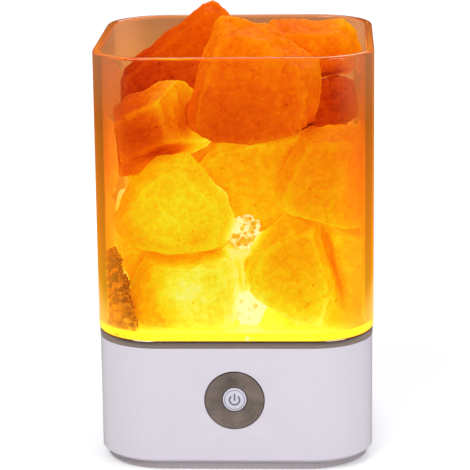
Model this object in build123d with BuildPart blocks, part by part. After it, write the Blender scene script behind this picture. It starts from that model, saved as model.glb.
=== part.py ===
from build123d import *
import os
from math import cos, radians, sin, sqrt
from typing import NamedTuple

# Salt crystal lamp: a square glass vessel full of rough salt chunks, on a white
# moulded base that lights it from below through a window in its deck.
# Millimetres. The origin is on the surface the lamp stands on, under its
# centre; +Z is up and the front, with the push button, looks along -Y.

os.makedirs("parts", exist_ok=True)

# ---------------------------------------------------------------- glass vessel
vessel_width = 100.0
vessel_corner_radius = 22.5
vessel_height = 102.0
vessel_wall = 3.0
vessel_floor = 2.4
vessel_rim_ease = 0.9
vessel_foot_ease = 0.8

# ------------------------------------------------------------------- trim ring
ring_height = 2.8
ring_setback = 0.3
ring_section = 2.4
ring_bevel = 0.35

# ---------------------------------------------------------------- base housing
base_setback = 0.4
base_corner_radius = 22.0
base_height = 42.8
base_wall = 2.6
base_edge_ease = 1.0
deck_thickness = 3.0
plateau_clearance = 0.2
boss_inset = 11.0
boss_radius = 3.6
boss_rib = 1.4

# -------------------------------------------------------- bottom cover and feet
cover_inset = 2.0
cover_thickness = 2.7
cover_corner_radius = 22.0
cover_rib_length = 44.0
cover_rib_wall = 1.6
cover_rib_height = 3.0
cover_fit = 0.25
cup_radius = 4.8
cup_height = 4.0
cup_seat = 2.0
foot_radius = 6.0
foot_sides = 16
foot_proud = 0.6
foot_recess = 1.4
foot_fit = 0.2

# ------------------------------------------------------- light window and lamp
# The window and the pieces that lie round the light have this many flat sides.
light_sides = 16
seal_thickness = 0.8
seal_band = 3.5
seal_inset = 0.5
window_radius = 32.0
diffuser_radius = 35.0
diffuser_thickness = 2.0
diffuser_fit = 0.2
reflector_depth = 12.0
reflector_wall = 1.6
reflector_floor_radius = 18.0
reflector_flange_width = 8.0
reflector_flange = 2.0
reflector_edge_margin = 0.7
led_board_radius = 27.0
led_board_thickness = 1.6
led_screw_circle = 24.3
led_size = 5.0
led_height = 1.5
led_circle = 12.0
led_count = 6

# --------------------------------------------------------- bezel, button, switch
button_height = 23.5
bezel_radius = 10.75
bezel_seat_depth = 1.6
bezel_proud = 0.2
bezel_rim = 0.5
bezel_dish = 1.12
bezel_neck_radius = 6.2
bezel_neck_length = 4.0
bezel_fit = 0.1
retainer_radius = 8.6
retainer_thickness = 1.4
retainer_notches = 4
retainer_notch_depth = 1.2
retainer_notch_width = 2.4
cap_radius = 4.3
cap_clearance = 0.3
cap_proud = 0.4
cap_ease = 0.4
collar_radius = 5.4
collar_thickness = 0.8
button_travel = 0.6
plunger_radius = 1.7
plunger_proud = 1.0
plunger_length = 2.3
switch_size = 6.0
switch_depth = 3.4
switch_board_width = 32.0
switch_board_height = 14.0
switch_board_thickness = 1.2
switch_leg_length = 1.3
switch_leg_width = 0.8
switch_leg_height = 0.3
switch_leg_pitch = 4.5
post_radius = 2.6
post_pitch = 12.5

# ------------------------------------------------------ control board and inlet
board_width = 44.0
board_depth = 32.0
board_thickness = 1.6
board_lift = 7.5
board_gap = 1.5
board_post_inset = 3.5
inlet_width = 8.94
inlet_height = 3.16
inlet_length = 7.4
inlet_shell = 0.3
inlet_gap = 0.3
inlet_pocket_width = 13.0
inlet_pocket_height = 7.0
inlet_pocket_depth = 1.4
inlet_fit = 0.35
tongue_width = 6.7
tongue_thickness = 0.7
tongue_length = 4.6
tongue_fit = 0.12
socket_width = 7.6
socket_depth = 6.0
socket_height = 4.2
socket_wall = 0.7
plug_fit = 0.12
plug_proud = 1.8
wire_radius = 0.55
wire_pitch = 2.5
control_socket_setback = 5.5
led_socket_x = 18.0
led_socket_y = 4.0
led_lead_reach = 13.0
led_lead_bend = 3.2
switch_lead_bend = 2.6
switch_socket_lift = 1.5

# --------------------------------------------------------------------- fasteners
screw_radius = 1.0
screw_head_radius = 1.9
screw_head_height = 1.3
screw_length = 5.0
cover_screw_radius = 1.25
cover_screw_head_radius = 2.6
cover_screw_head_height = 1.8
cover_screw_length = 10.0
screw_fit = 0.1
# Screws, their holes and other small inner details have this many flat sides.
detail_sides = 8
wire_sides = 6

# ------------------------------------------------------ parts on the control board
chip_width = 3.9
chip_length = 4.9
chip_height = 1.5
chip_standoff = 0.3
chip_leg_width = 0.45
chip_leg_pitch = 1.27
chip_leg_length = 1.2
coil_size = 5.0
coil_height = 2.8
coil_corner_cut = 1.3
can_radius = 3.15
can_sides = 12
can_height = 7.7
can_foot_size = 6.6
can_foot_height = 0.8
can_ease = 0.4
resistor_width = 1.2
resistor_length = 2.0
resistor_height = 0.55
resistor_pitch = 2.4
resistor_count = 5
part_row_setback = 1.0
resistor_row_setback = 6.0
can_post_gap = 4.5
coil_offset = 6.0

# ------------------------------------------------------------- salt in the vessel
# The chunks' outlines are drawn for a vessel of this width and height, and spread with
# it. Small grains lie in the front left corner, in rows round the vessel's corner.
outline_vessel_width = 100.0
outline_vessel_height = 102.0
bed_gap = 0.3
edge_wear = 1.3
face_scale = 0.76
grain_size = 5.6
grain_corners = 12
grain_rows = (4, 4, 3, 2, 1)
grain_start_angle = 186
grain_step_angle = 18
grain_stagger = 0.3
grain_nesting = 0.82
grain_roughness = 0.16

# Heights that follow from the sizes above, from the surface up.
wall_bottom_z = foot_proud + cover_thickness
deck_top_z = wall_bottom_z + base_height
deck_under_z = deck_top_z - deck_thickness
ring_top_z = deck_top_z + ring_height
plateau_top_z = ring_top_z - seal_thickness
salt_floor_z = ring_top_z + vessel_floor
foot_top_z = foot_proud + foot_recess
cup_top_z = wall_bottom_z + cup_height
button_z = wall_bottom_z + button_height
reflector_floor_z = deck_under_z - reflector_depth
led_board_under_z = reflector_floor_z - led_board_thickness
board_top_z = wall_bottom_z + board_lift + board_thickness

# Distances that several pieces share.
base_width = vessel_width - 2 * base_setback
cavity_width = base_width - 2 * base_wall
cavity_radius = base_corner_radius - base_wall
ring_width = vessel_width - 2 * ring_setback
ring_radius = vessel_corner_radius - ring_setback
ring_inner_width = ring_width - 2 * ring_section
ring_inner_radius = ring_radius - ring_section
front_y = -base_width / 2
front_inner_y = front_y + base_wall
back_y = base_width / 2
back_inner_y = back_y - base_wall
pilot_radius = screw_radius + screw_fit
pilot_depth = screw_length + 2 * screw_fit
cover_pilot_radius = cover_screw_radius + screw_fit
reflector_flange_radius = window_radius + reflector_flange_width
reflector_screw_circle = reflector_flange_radius - screw_head_radius - reflector_edge_margin

# Places along the button's axis, from the wall inwards.
bezel_seat_y = front_y + bezel_seat_depth
bezel_crown_y = front_y - bezel_proud
bezel_bore_radius = cap_radius + cap_clearance
neck_end_y = bezel_seat_y + bezel_neck_length
collar_y = neck_end_y + cap_clearance
cap_end_y = collar_y + collar_thickness
switch_face_y = cap_end_y + plunger_proud
switch_board_y = switch_face_y + switch_depth
switch_board_back_y = switch_board_y + switch_board_thickness

# Plan positions.
boss_pitch = cavity_width / 2 - boss_inset
boss_points = [(x, y) for x in (-boss_pitch, boss_pitch) for y in (-boss_pitch, boss_pitch)]
board_back_y = back_inner_y - board_gap
board_front_y = board_back_y - board_depth
board_centre_y = (board_back_y + board_front_y) / 2
control_socket_y = board_centre_y - control_socket_setback
board_post_x = board_width / 2 - board_post_inset
board_post_y = board_depth / 2 - board_post_inset
board_post_points = [
    (x, board_centre_y + y)
    for x in (-board_post_x, board_post_x)
    for y in (-board_post_y, board_post_y)
]


def write_piece(piece, name):
    """Label a finished piece and write it as its own file."""
    piece.label = name
    export_step(piece, f"parts/{name}.step")


def turned_about_button(outline):
    """Revolve a closed outline of (y, radius) points about the button's axis."""
    with BuildSketch(Plane.YZ) as profile:
        with BuildLine():
            Polyline(*[(y, button_z + radius) for y, radius in outline], close=True)
        make_face()
    revolve(profile.sketch, axis=Axis((0, 0, button_z), (0, 1, 0)))


def ring_corners(radius, z):
    """Corners of a flat-sided ring round the light, at one height."""
    turns = [radians(number * 360 / light_sides) for number in range(light_sides)]
    return [(radius * cos(turn), radius * sin(turn), z) for turn in turns]


def screw_group(seats, radius, length, head_radius, head_height):
    """Plain-headed screws: each seat's +Z points down its shank."""
    with BuildPart() as screws:
        with BuildSketch(*seats):
            RegularPolygon(radius, detail_sides)
        extrude(amount=length)
        with BuildSketch(*seats):
            RegularPolygon(head_radius, detail_sides)
        extrude(amount=-head_height)
    return screws.part


# ------------------------------------------------------------------ glass vessel
with BuildPart() as glass_vessel:
    with BuildSketch(Plane.XY.offset(ring_top_z)):
        RectangleRounded(vessel_width, vessel_width, vessel_corner_radius)
    extrude(amount=vessel_height)
    chamfer(glass_vessel.edges().group_by(Axis.Z)[0], vessel_foot_ease)
    inner_width = vessel_width - 2 * vessel_wall
    with BuildSketch(Plane.XY.offset(salt_floor_z)):
        RectangleRounded(inner_width, inner_width, vessel_corner_radius - vessel_wall)
    extrude(amount=vessel_height, mode=Mode.SUBTRACT)
    chamfer(glass_vessel.edges().group_by(Axis.Z)[-1], vessel_rim_ease)
write_piece(glass_vessel.part, "glass_vessel")

# --------------------------------------------------------------------- trim ring
with BuildPart() as trim_ring:
    with BuildSketch(Plane.XY.offset(deck_top_z)):
        RectangleRounded(ring_width, ring_width, ring_radius)
    extrude(amount=ring_height)
    chamfer(trim_ring.edges().group_by(Axis.Z)[-1], ring_bevel)
    with BuildSketch(Plane.XY.offset(deck_top_z)):
        RectangleRounded(ring_inner_width, ring_inner_width, ring_inner_radius)
    extrude(amount=ring_height, mode=Mode.SUBTRACT)
write_piece(trim_ring.part, "trim_ring")

# ------------------------------------------------------------------ base housing
with BuildPart() as base_housing:
    with BuildSketch(Plane.XY.offset(wall_bottom_z)):
        RectangleRounded(base_width, base_width, base_corner_radius)
    extrude(amount=base_height)
    chamfer(base_housing.edges().group_by(Axis.Z)[0], base_edge_ease)
    plateau_width = ring_inner_width - 2 * plateau_clearance
    with BuildSketch(Plane.XY.offset(deck_top_z)):
        RectangleRounded(plateau_width, plateau_width, ring_inner_radius - plateau_clearance)
    extrude(amount=plateau_top_z - deck_top_z)
    with BuildSketch(Plane.XY.offset(wall_bottom_z)):
        RectangleRounded(cavity_width, cavity_width, cavity_radius)
    extrude(amount=deck_under_z - wall_bottom_z, mode=Mode.SUBTRACT)

    # Window in the deck, with the step that the diffuser lies in.
    with BuildSketch(Plane.XY.offset(plateau_top_z)):
        RegularPolygon(window_radius, light_sides)
    extrude(amount=deck_under_z - plateau_top_z, mode=Mode.SUBTRACT)
    with BuildSketch(Plane.XY.offset(plateau_top_z)):
        RegularPolygon(diffuser_radius + diffuser_fit, light_sides)
    extrude(amount=-(diffuser_thickness + diffuser_fit), mode=Mode.SUBTRACT)

    # Corner bosses for the cover's screws, each tied to both walls by ribs.
    with BuildSketch(Plane.XY.offset(cup_top_z)):
        with Locations(*boss_points):
            RegularPolygon(boss_radius, detail_sides)
        rib_length = cavity_width / 2 - boss_pitch
        for x, y in boss_points:
            with Locations((x + rib_length / 2 * (1 if x > 0 else -1), y)):
                Rectangle(rib_length, boss_rib)
            with Locations((x, y + rib_length / 2 * (1 if y > 0 else -1))):
                Rectangle(boss_rib, rib_length)
    extrude(until=Until.NEXT)
    with BuildSketch(Plane.XY.offset(cup_top_z)):
        with Locations(*boss_points):
            RegularPolygon(cover_pilot_radius, detail_sides)
    extrude(amount=cover_screw_length, mode=Mode.SUBTRACT)

    # Blind holes in the deck for the reflector's screws.
    with BuildSketch(Plane.XY.offset(deck_under_z)):
        with PolarLocations(reflector_screw_circle, 4):
            RegularPolygon(pilot_radius, detail_sides)
    extrude(amount=screw_length - reflector_flange + 2 * screw_fit, mode=Mode.SUBTRACT)

    # Posts behind the front wall carry the switch board.
    with BuildSketch(Plane.XZ.offset(-front_inner_y)):
        with Locations((-post_pitch, button_z), (post_pitch, button_z)):
            RegularPolygon(post_radius, detail_sides)
    extrude(amount=front_inner_y - switch_board_y)
    with BuildSketch(Plane.XZ.offset(-switch_board_y)):
        with Locations((-post_pitch, button_z), (post_pitch, button_z)):
            RegularPolygon(pilot_radius, detail_sides)
    extrude(amount=pilot_depth, mode=Mode.SUBTRACT)

    # Round seat of the bezel, and the eight-sided hole that keys its neck.
    with BuildSketch(Plane.XZ.offset(-front_y)):
        with Locations((0, button_z)):
            Circle(bezel_radius + bezel_fit)
    extrude(amount=-bezel_seat_depth, mode=Mode.SUBTRACT)
    with BuildSketch(Plane.XZ.offset(-front_y)):
        with Locations((0, button_z)):
            RegularPolygon(bezel_neck_radius + bezel_fit, detail_sides)
    extrude(amount=-base_wall, mode=Mode.SUBTRACT)

    # Pocket for the plug at the back, and the slot in front of the inlet.
    inlet_z = board_top_z + inlet_height / 2
    with BuildSketch(Plane.XZ.offset(-back_y)):
        with Locations((0, inlet_z)):
            SlotOverall(inlet_pocket_width, inlet_pocket_height)
    extrude(amount=inlet_pocket_depth, mode=Mode.SUBTRACT)
    with BuildSketch(Plane.XZ.offset(-back_y)):
        with Locations((0, inlet_z)):
            SlotOverall(inlet_width + 2 * inlet_fit, inlet_height + 2 * inlet_fit)
    extrude(amount=base_wall, mode=Mode.SUBTRACT)
write_piece(base_housing.part, "base_housing")

# ------------------------------------------------------------------ bottom cover
with BuildPart() as bottom_cover:
    cover_width = base_width - 2 * cover_inset
    with BuildSketch(Plane.XY.offset(foot_proud)):
        RectangleRounded(cover_width, cover_width, cover_corner_radius)
    extrude(amount=cover_thickness)

    # Ribs that locate the cover between the housing's walls, and the board's posts.
    rib_centre = cavity_width / 2 - cover_fit - cover_rib_wall / 2
    with BuildSketch(Plane.XY.offset(wall_bottom_z)):
        with PolarLocations(rib_centre, 4):
            Rectangle(cover_rib_wall, cover_rib_length)
    extrude(amount=cover_rib_height)
    with BuildSketch(Plane.XY.offset(wall_bottom_z)):
        with Locations(*board_post_points):
            RegularPolygon(post_radius, detail_sides)
    extrude(amount=board_lift)
    with BuildSketch(Plane.XY.offset(wall_bottom_z + board_lift)):
        with Locations(*board_post_points):
            RegularPolygon(pilot_radius, detail_sides)
    extrude(amount=-pilot_depth, mode=Mode.SUBTRACT)

    # Cups that carry the screws up to the housing's bosses.
    with BuildSketch(Plane.XY.offset(wall_bottom_z)):
        with Locations(*boss_points):
            RegularPolygon(cup_radius, detail_sides)
    extrude(amount=cup_height)
    screw_seat_z = cup_top_z - cup_seat
    with BuildSketch(Plane.XY.offset(foot_proud)):
        with Locations(*boss_points):
            RegularPolygon(cover_screw_head_radius + foot_fit, detail_sides)
    extrude(amount=screw_seat_z - foot_proud, mode=Mode.SUBTRACT)
    with BuildSketch(Plane.XY.offset(screw_seat_z)):
        with Locations(*boss_points):
            RegularPolygon(cover_pilot_radius, detail_sides)
    extrude(amount=cup_seat, mode=Mode.SUBTRACT)

    # Recesses for the rubber feet, which hide the screws.
    with BuildSketch(Plane.XY.offset(foot_proud)):
        with Locations(*boss_points):
            RegularPolygon(foot_radius + foot_fit, foot_sides)
    extrude(amount=foot_recess, mode=Mode.SUBTRACT)
write_piece(bottom_cover.part, "bottom_cover")

with BuildPart() as rubber_feet:
    with BuildSketch(Plane.XY):
        with Locations(*boss_points):
            RegularPolygon(foot_radius, foot_sides)
    extrude(amount=foot_top_z)
write_piece(rubber_feet.part, "rubber_feet")

cover_screws = screw_group(
    [Plane((x, y, screw_seat_z)) for x, y in boss_points],
    cover_screw_radius,
    cover_screw_length,
    cover_screw_head_radius,
    cover_screw_head_height,
)
write_piece(cover_screws, "cover_screws")

# -------------------------------------------------- seal, diffuser and reflector
with BuildPart() as glass_seal:
    seal_radius = plateau_width / 2 - seal_inset
    with BuildSketch(Plane.XY.offset(plateau_top_z)):
        RegularPolygon(seal_radius, light_sides)
        RegularPolygon(seal_radius - seal_band, light_sides, mode=Mode.SUBTRACT)
    extrude(amount=seal_thickness)
write_piece(glass_seal.part, "glass_seal")

with BuildPart() as light_diffuser:
    with BuildSketch(Plane.XY.offset(plateau_top_z - diffuser_thickness - diffuser_fit)):
        RegularPolygon(diffuser_radius, light_sides)
    extrude(amount=diffuser_thickness)
write_piece(light_diffuser.part, "light_diffuser")

led_screw_points = [
    (led_screw_circle * cos(radians(angle)), led_screw_circle * sin(radians(angle)))
    for angle in (90, 210, 330)
]
# The wall thickens towards its foot, where the LED board's screws enter it.
with BuildPart() as reflector_cup:
    ConvexPolyhedron(
        ring_corners(led_board_radius, reflector_floor_z)
        + ring_corners(window_radius + reflector_wall, deck_under_z - reflector_flange)
    )
    with BuildSketch(Plane.XY.offset(deck_under_z)):
        RegularPolygon(reflector_flange_radius, light_sides)
    extrude(amount=-reflector_flange)
    ConvexPolyhedron(
        ring_corners(reflector_floor_radius, reflector_floor_z) + ring_corners(window_radius, deck_under_z),
        mode=Mode.SUBTRACT,
    )
    with BuildSketch(Plane.XY.offset(reflector_floor_z)):
        with Locations(*led_screw_points):
            RegularPolygon(pilot_radius, detail_sides)
    extrude(amount=screw_length - led_board_thickness + 2 * screw_fit, mode=Mode.SUBTRACT)
    with BuildSketch(Plane.XY.offset(deck_under_z)):
        with PolarLocations(reflector_screw_circle, 4):
            RegularPolygon(pilot_radius, detail_sides)
    extrude(amount=-reflector_flange, mode=Mode.SUBTRACT)
write_piece(reflector_cup.part, "reflector_cup")

reflector_screws = screw_group(
    [
        Plane(Vector(reflector_screw_circle, 0, deck_under_z - reflector_flange).rotate(Axis.Z, angle))
        for angle in (0, 90, 180, 270)
    ],
    screw_radius,
    screw_length,
    screw_head_radius,
    screw_head_height,
)
write_piece(reflector_screws, "reflector_screws")

# --------------------------------------------------------------------- LED board
with BuildPart() as led_board:
    with BuildSketch(Plane.XY.offset(led_board_under_z)):
        RegularPolygon(led_board_radius, light_sides)
        with Locations(*led_screw_points):
            RegularPolygon(pilot_radius, detail_sides, mode=Mode.SUBTRACT)
    extrude(amount=led_board_thickness)
write_piece(led_board.part, "led_board")

with BuildPart() as leds:
    led_spots = [Plane.XY.offset(reflector_floor_z)]
    for number in range(led_count):
        direction = Vector(1, 0, 0).rotate(Axis.Z, number * 360 / led_count)
        led_spots.append(Plane(Vector(0, 0, reflector_floor_z) + direction * led_circle, direction))
    with Locations(*led_spots):
        Box(led_size, led_size, led_height, align=(Align.CENTER, Align.CENTER, Align.MIN))
write_piece(leds.part, "leds")

led_board_screws = screw_group(
    [Plane((x, y, led_board_under_z)) for x, y in led_screw_points],
    screw_radius,
    screw_length,
    screw_head_radius,
    screw_head_height,
)
write_piece(led_board_screws, "led_board_screws")

# ---------------------------------------------------------------- bezel and button
dish_bore_y = bezel_crown_y + bezel_dish
with BuildPart() as button_bezel:
    turned_about_button(
        [
            (bezel_crown_y, bezel_radius - bezel_rim),
            (dish_bore_y, bezel_bore_radius),
            (bezel_seat_y, bezel_bore_radius),
            (bezel_seat_y, bezel_radius),
            (bezel_crown_y, bezel_radius),
        ]
    )
    with BuildSketch(Plane.XZ.offset(-bezel_seat_y)):
        with Locations((0, button_z)):
            RegularPolygon(bezel_neck_radius, detail_sides)
            RegularPolygon(bezel_bore_radius, detail_sides, major_radius=False, mode=Mode.SUBTRACT)
    extrude(amount=-bezel_neck_length)
write_piece(button_bezel.part, "button_bezel")

with BuildPart() as bezel_retainer:
    with BuildSketch(Plane.XZ.offset(-front_inner_y)):
        with Locations((0, button_z)):
            RegularPolygon(retainer_radius, detail_sides)
            RegularPolygon(bezel_neck_radius + bezel_fit, detail_sides, mode=Mode.SUBTRACT)
            with PolarLocations(bezel_neck_radius, retainer_notches):
                Rectangle(2 * retainer_notch_depth, retainer_notch_width, mode=Mode.SUBTRACT)
    extrude(amount=-retainer_thickness)
write_piece(bezel_retainer.part, "bezel_retainer")

cap_face_y = dish_bore_y - cap_proud
with BuildPart() as power_button:
    turned_about_button(
        [
            (cap_face_y, 0),
            (cap_face_y, cap_radius - cap_ease),
            (cap_face_y + cap_ease, cap_radius),
            (collar_y, cap_radius),
            (collar_y, collar_radius),
            (cap_end_y, collar_radius),
            (cap_end_y, 0),
        ]
    )
write_piece(power_button.part, "power_button")

# ------------------------------------------------------------------- push switch
with BuildPart() as switch_plunger:
    with BuildSketch(Plane.XZ.offset(-cap_end_y)):
        with Locations((0, button_z)):
            RegularPolygon(plunger_radius, detail_sides)
    extrude(amount=-plunger_length)
write_piece(switch_plunger.part, "switch_plunger")

with BuildPart() as tact_switch:
    with BuildSketch(Plane.XZ.offset(-switch_board_y)):
        with Locations((0, button_z)):
            Rectangle(switch_size, switch_size)
    extrude(amount=switch_depth)
    with BuildSketch(Plane.XZ.offset(-switch_board_y)):
        with Locations((0, button_z)):
            with GridLocations(switch_size, switch_leg_pitch, 2, 2):
                Rectangle(switch_leg_length, switch_leg_width)
    extrude(amount=switch_leg_height)
    with BuildSketch(Plane.XZ.offset(-switch_face_y)):
        with Locations((0, button_z)):
            RegularPolygon(plunger_radius + cap_clearance, detail_sides)
    bore_depth = plunger_length - plunger_proud + button_travel + cap_clearance
    extrude(amount=-bore_depth, mode=Mode.SUBTRACT)
write_piece(tact_switch.part, "tact_switch")

with BuildPart() as switch_board:
    with BuildSketch(Plane.XZ.offset(-switch_board_back_y)):
        with Locations((0, button_z)):
            Rectangle(switch_board_width, switch_board_height)
        with Locations((-post_pitch, button_z), (post_pitch, button_z)):
            RegularPolygon(pilot_radius, detail_sides, mode=Mode.SUBTRACT)
    extrude(amount=switch_board_thickness)
write_piece(switch_board.part, "switch_board")

switch_board_screws = screw_group(
    [
        Plane((x, switch_board_back_y, button_z), z_dir=(0, -1, 0))
        for x in (-post_pitch, post_pitch)
    ],
    screw_radius,
    screw_length,
    screw_head_radius,
    screw_head_height,
)
write_piece(switch_board_screws, "switch_board_screws")

# ----------------------------------------------------------------- control board
with BuildPart() as control_board:
    with BuildSketch(Plane.XY.offset(board_top_z)):
        with Locations((0, board_centre_y)):
            Rectangle(board_width, board_depth)
        with Locations(*board_post_points):
            RegularPolygon(pilot_radius, detail_sides, mode=Mode.SUBTRACT)
    extrude(amount=-board_thickness)
write_piece(control_board.part, "control_board")

control_board_screws = screw_group(
    [Plane((x, y, board_top_z), z_dir=(0, 0, -1)) for x, y in board_post_points],
    screw_radius,
    screw_length,
    screw_head_radius,
    screw_head_height,
)
write_piece(control_board_screws, "control_board_screws")

# Power inlet: a drawn metal shell with a moulded block and tongue inside.
inlet_mouth_y = back_inner_y - inlet_gap
inlet_back_y = inlet_mouth_y - inlet_length
with BuildPart() as inlet_shell_piece:
    with BuildSketch(Plane.XZ.offset(-inlet_back_y)):
        with Locations((0, inlet_z)):
            SlotOverall(inlet_width, inlet_height)
            SlotOverall(inlet_width - 2 * inlet_shell, inlet_height - 2 * inlet_shell, mode=Mode.SUBTRACT)
    extrude(amount=-inlet_length)
write_piece(inlet_shell_piece.part, "inlet_shell")

with BuildPart() as inlet_tongue:
    block_length = inlet_length - tongue_length - tongue_thickness
    with BuildSketch(Plane.XZ.offset(-inlet_back_y)):
        with Locations((0, inlet_z)):
            slack = inlet_shell + tongue_fit
            SlotOverall(inlet_width - 2 * slack, inlet_height - 2 * slack)
    extrude(amount=-block_length)
    with BuildSketch(Plane.XZ.offset(-inlet_back_y)):
        with Locations((0, inlet_z)):
            Rectangle(tongue_width, tongue_thickness)
    extrude(amount=-(block_length + tongue_length))
write_piece(inlet_tongue.part, "inlet_tongue")

# Parts on the control board, between the inlet and the front sockets.
part_row_y = board_centre_y + part_row_setback
chip_spot = (-coil_offset, part_row_y)
coil_spot = (coil_offset, part_row_y)
can_spot = (can_post_gap - board_post_x, board_centre_y)
with BuildPart() as control_chip:
    with Locations((*chip_spot, board_top_z + chip_standoff)):
        Box(chip_width, chip_length, chip_height, align=(Align.CENTER, Align.CENTER, Align.MIN))
    with BuildSketch(Plane.XY.offset(board_top_z)):
        with Locations(chip_spot):
            with GridLocations(chip_width + chip_leg_length, chip_leg_pitch, 2, 4):
                Rectangle(chip_leg_length, chip_leg_width)
    extrude(amount=chip_height / 2)
write_piece(control_chip.part, "control_chip")

with BuildPart() as power_coil:
    with BuildSketch(Plane.XY.offset(board_top_z)) as coil_outline:
        with Locations(coil_spot):
            Rectangle(coil_size, coil_size)
        chamfer(coil_outline.vertices(), coil_corner_cut)
    extrude(amount=coil_height)
write_piece(power_coil.part, "power_coil")

with BuildPart() as filter_capacitor:
    with BuildSketch(Plane.XY.offset(board_top_z)):
        with Locations(can_spot):
            Rectangle(can_foot_size, can_foot_size)
    extrude(amount=can_foot_height)
    with BuildSketch(Plane.XY.offset(board_top_z + can_foot_height)):
        with Locations(can_spot):
            RegularPolygon(can_radius, can_sides)
    extrude(amount=can_height - can_foot_height)
    chamfer(filter_capacitor.edges().group_by(Axis.Z)[-1], can_ease)
write_piece(filter_capacitor.part, "filter_capacitor")

with BuildPart() as chip_resistors:
    with BuildSketch(Plane.XY.offset(board_top_z)):
        with Locations((0, board_centre_y - resistor_row_setback)):
            with GridLocations(resistor_pitch, 1, resistor_count, 1):
                Rectangle(resistor_width, resistor_length)
    extrude(amount=resistor_height)
write_piece(chip_resistors.part, "chip_resistors")

# --------------------------------------------------------- sockets, plugs, leads
# Each socket's plane lies on its board: +X looks out of the mouth, +Z off the board.
control_led_socket = Plane((board_width / 2, control_socket_y, board_top_z), x_dir=(1, 0, 0))
control_switch_socket = Plane((0, board_front_y, board_top_z), x_dir=(0, -1, 0))
led_socket = Plane((led_socket_x, led_socket_y, led_board_under_z), x_dir=(1, 0, 0), z_dir=(0, 0, -1))
switch_socket = Plane(
    (0, switch_board_back_y, button_z + switch_socket_lift - socket_depth / 2),
    x_dir=(0, 0, -1),
    z_dir=(0, 1, 0),
)
sockets = [control_led_socket, control_switch_socket, led_socket, switch_socket]

with BuildPart() as lead_sockets:
    with Locations(*sockets):
        Box(socket_depth, socket_width, socket_height, align=(Align.MAX, Align.CENTER, Align.MIN))
    with Locations(*[socket.offset(socket_wall) for socket in sockets]):
        Box(
            socket_depth - socket_wall,
            socket_width - 2 * socket_wall,
            socket_height - 2 * socket_wall,
            align=(Align.MAX, Align.CENTER, Align.MIN),
            mode=Mode.SUBTRACT,
        )
write_piece(lead_sockets.part, "lead_sockets")

plug_inset = socket_wall + plug_fit
plug_length = plug_proud + socket_depth - socket_wall - plug_fit
plug_ends = [
    Plane(socket.from_local_coords((plug_proud, 0, plug_inset)), socket.x_dir, socket.z_dir)
    for socket in sockets
]
with BuildPart() as lead_plugs:
    with Locations(*plug_ends):
        Box(
            plug_length,
            socket_width - 2 * plug_inset,
            socket_height - 2 * plug_inset,
            align=(Align.MAX, Align.CENTER, Align.MIN),
        )
write_piece(lead_plugs.part, "lead_plugs")


def lead_exit(socket, side):
    """The point where one wire leaves the plug of a socket."""
    return socket.from_local_coords((plug_proud, side * wire_pitch / 2, socket_height / 2))


def lead_pair(routes, bend):
    """Two insulated wires along straight runs, with each corner cut off at the bend."""
    with BuildPart() as lead:
        for route in routes:
            corners = [Vector(corner) for corner in route]
            points = [corners[0]]
            for before, corner, after in zip(corners, corners[1:], corners[2:]):
                points.append(corner + (before - corner).normalized() * bend)
                points.append(corner + (after - corner).normalized() * bend)
            with BuildLine() as path:
                Polyline(*points, corners[-1])
            with BuildSketch(Plane(path.line @ 0, z_dir=path.line % 0)) as section:
                RegularPolygon(wire_radius, wire_sides)
            sweep(section.sketch, path=path.line, transition=Transition.RIGHT)
    return lead.part


led_lead_x = board_width / 2 + led_lead_reach
led_lead_routes = []
for side in (-1, 1):
    start = lead_exit(control_led_socket, side)
    end = lead_exit(led_socket, -side)
    led_lead_routes.append([start, (led_lead_x, start.Y, start.Z), (led_lead_x, end.Y, end.Z), end])
led_lead = lead_pair(led_lead_routes, led_lead_bend)
write_piece(led_lead, "led_lead")

switch_lead_routes = []
for side in (-1, 1):
    start = lead_exit(switch_socket, side)
    end = lead_exit(control_switch_socket, -side)
    switch_lead_routes.append([start, (start.X, start.Y, end.Z), end])
switch_lead = lead_pair(switch_lead_routes, switch_lead_bend)
write_piece(switch_lead, "switch_lead")


# ------------------------------------------------------------------- salt chunks
class Chunk(NamedTuple):
    """A rough chunk, described by its outline as seen from the front.

    The outline's points are (x, height above the vessel's floor). It lies in a
    plane at depth, which leans back by lean for each mm of height. The chunk
    bulges forward and back from it to two smaller faces; tilt turns the front
    face, as its depth gained per mm towards +X and per mm up. A chunk that the
    others hide keeps its sharp edges instead of worn ones.
    """

    name: str
    outline: list
    depth: float
    lean: float
    forward: float
    back: float
    tilt: tuple
    worn: bool = True


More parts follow.
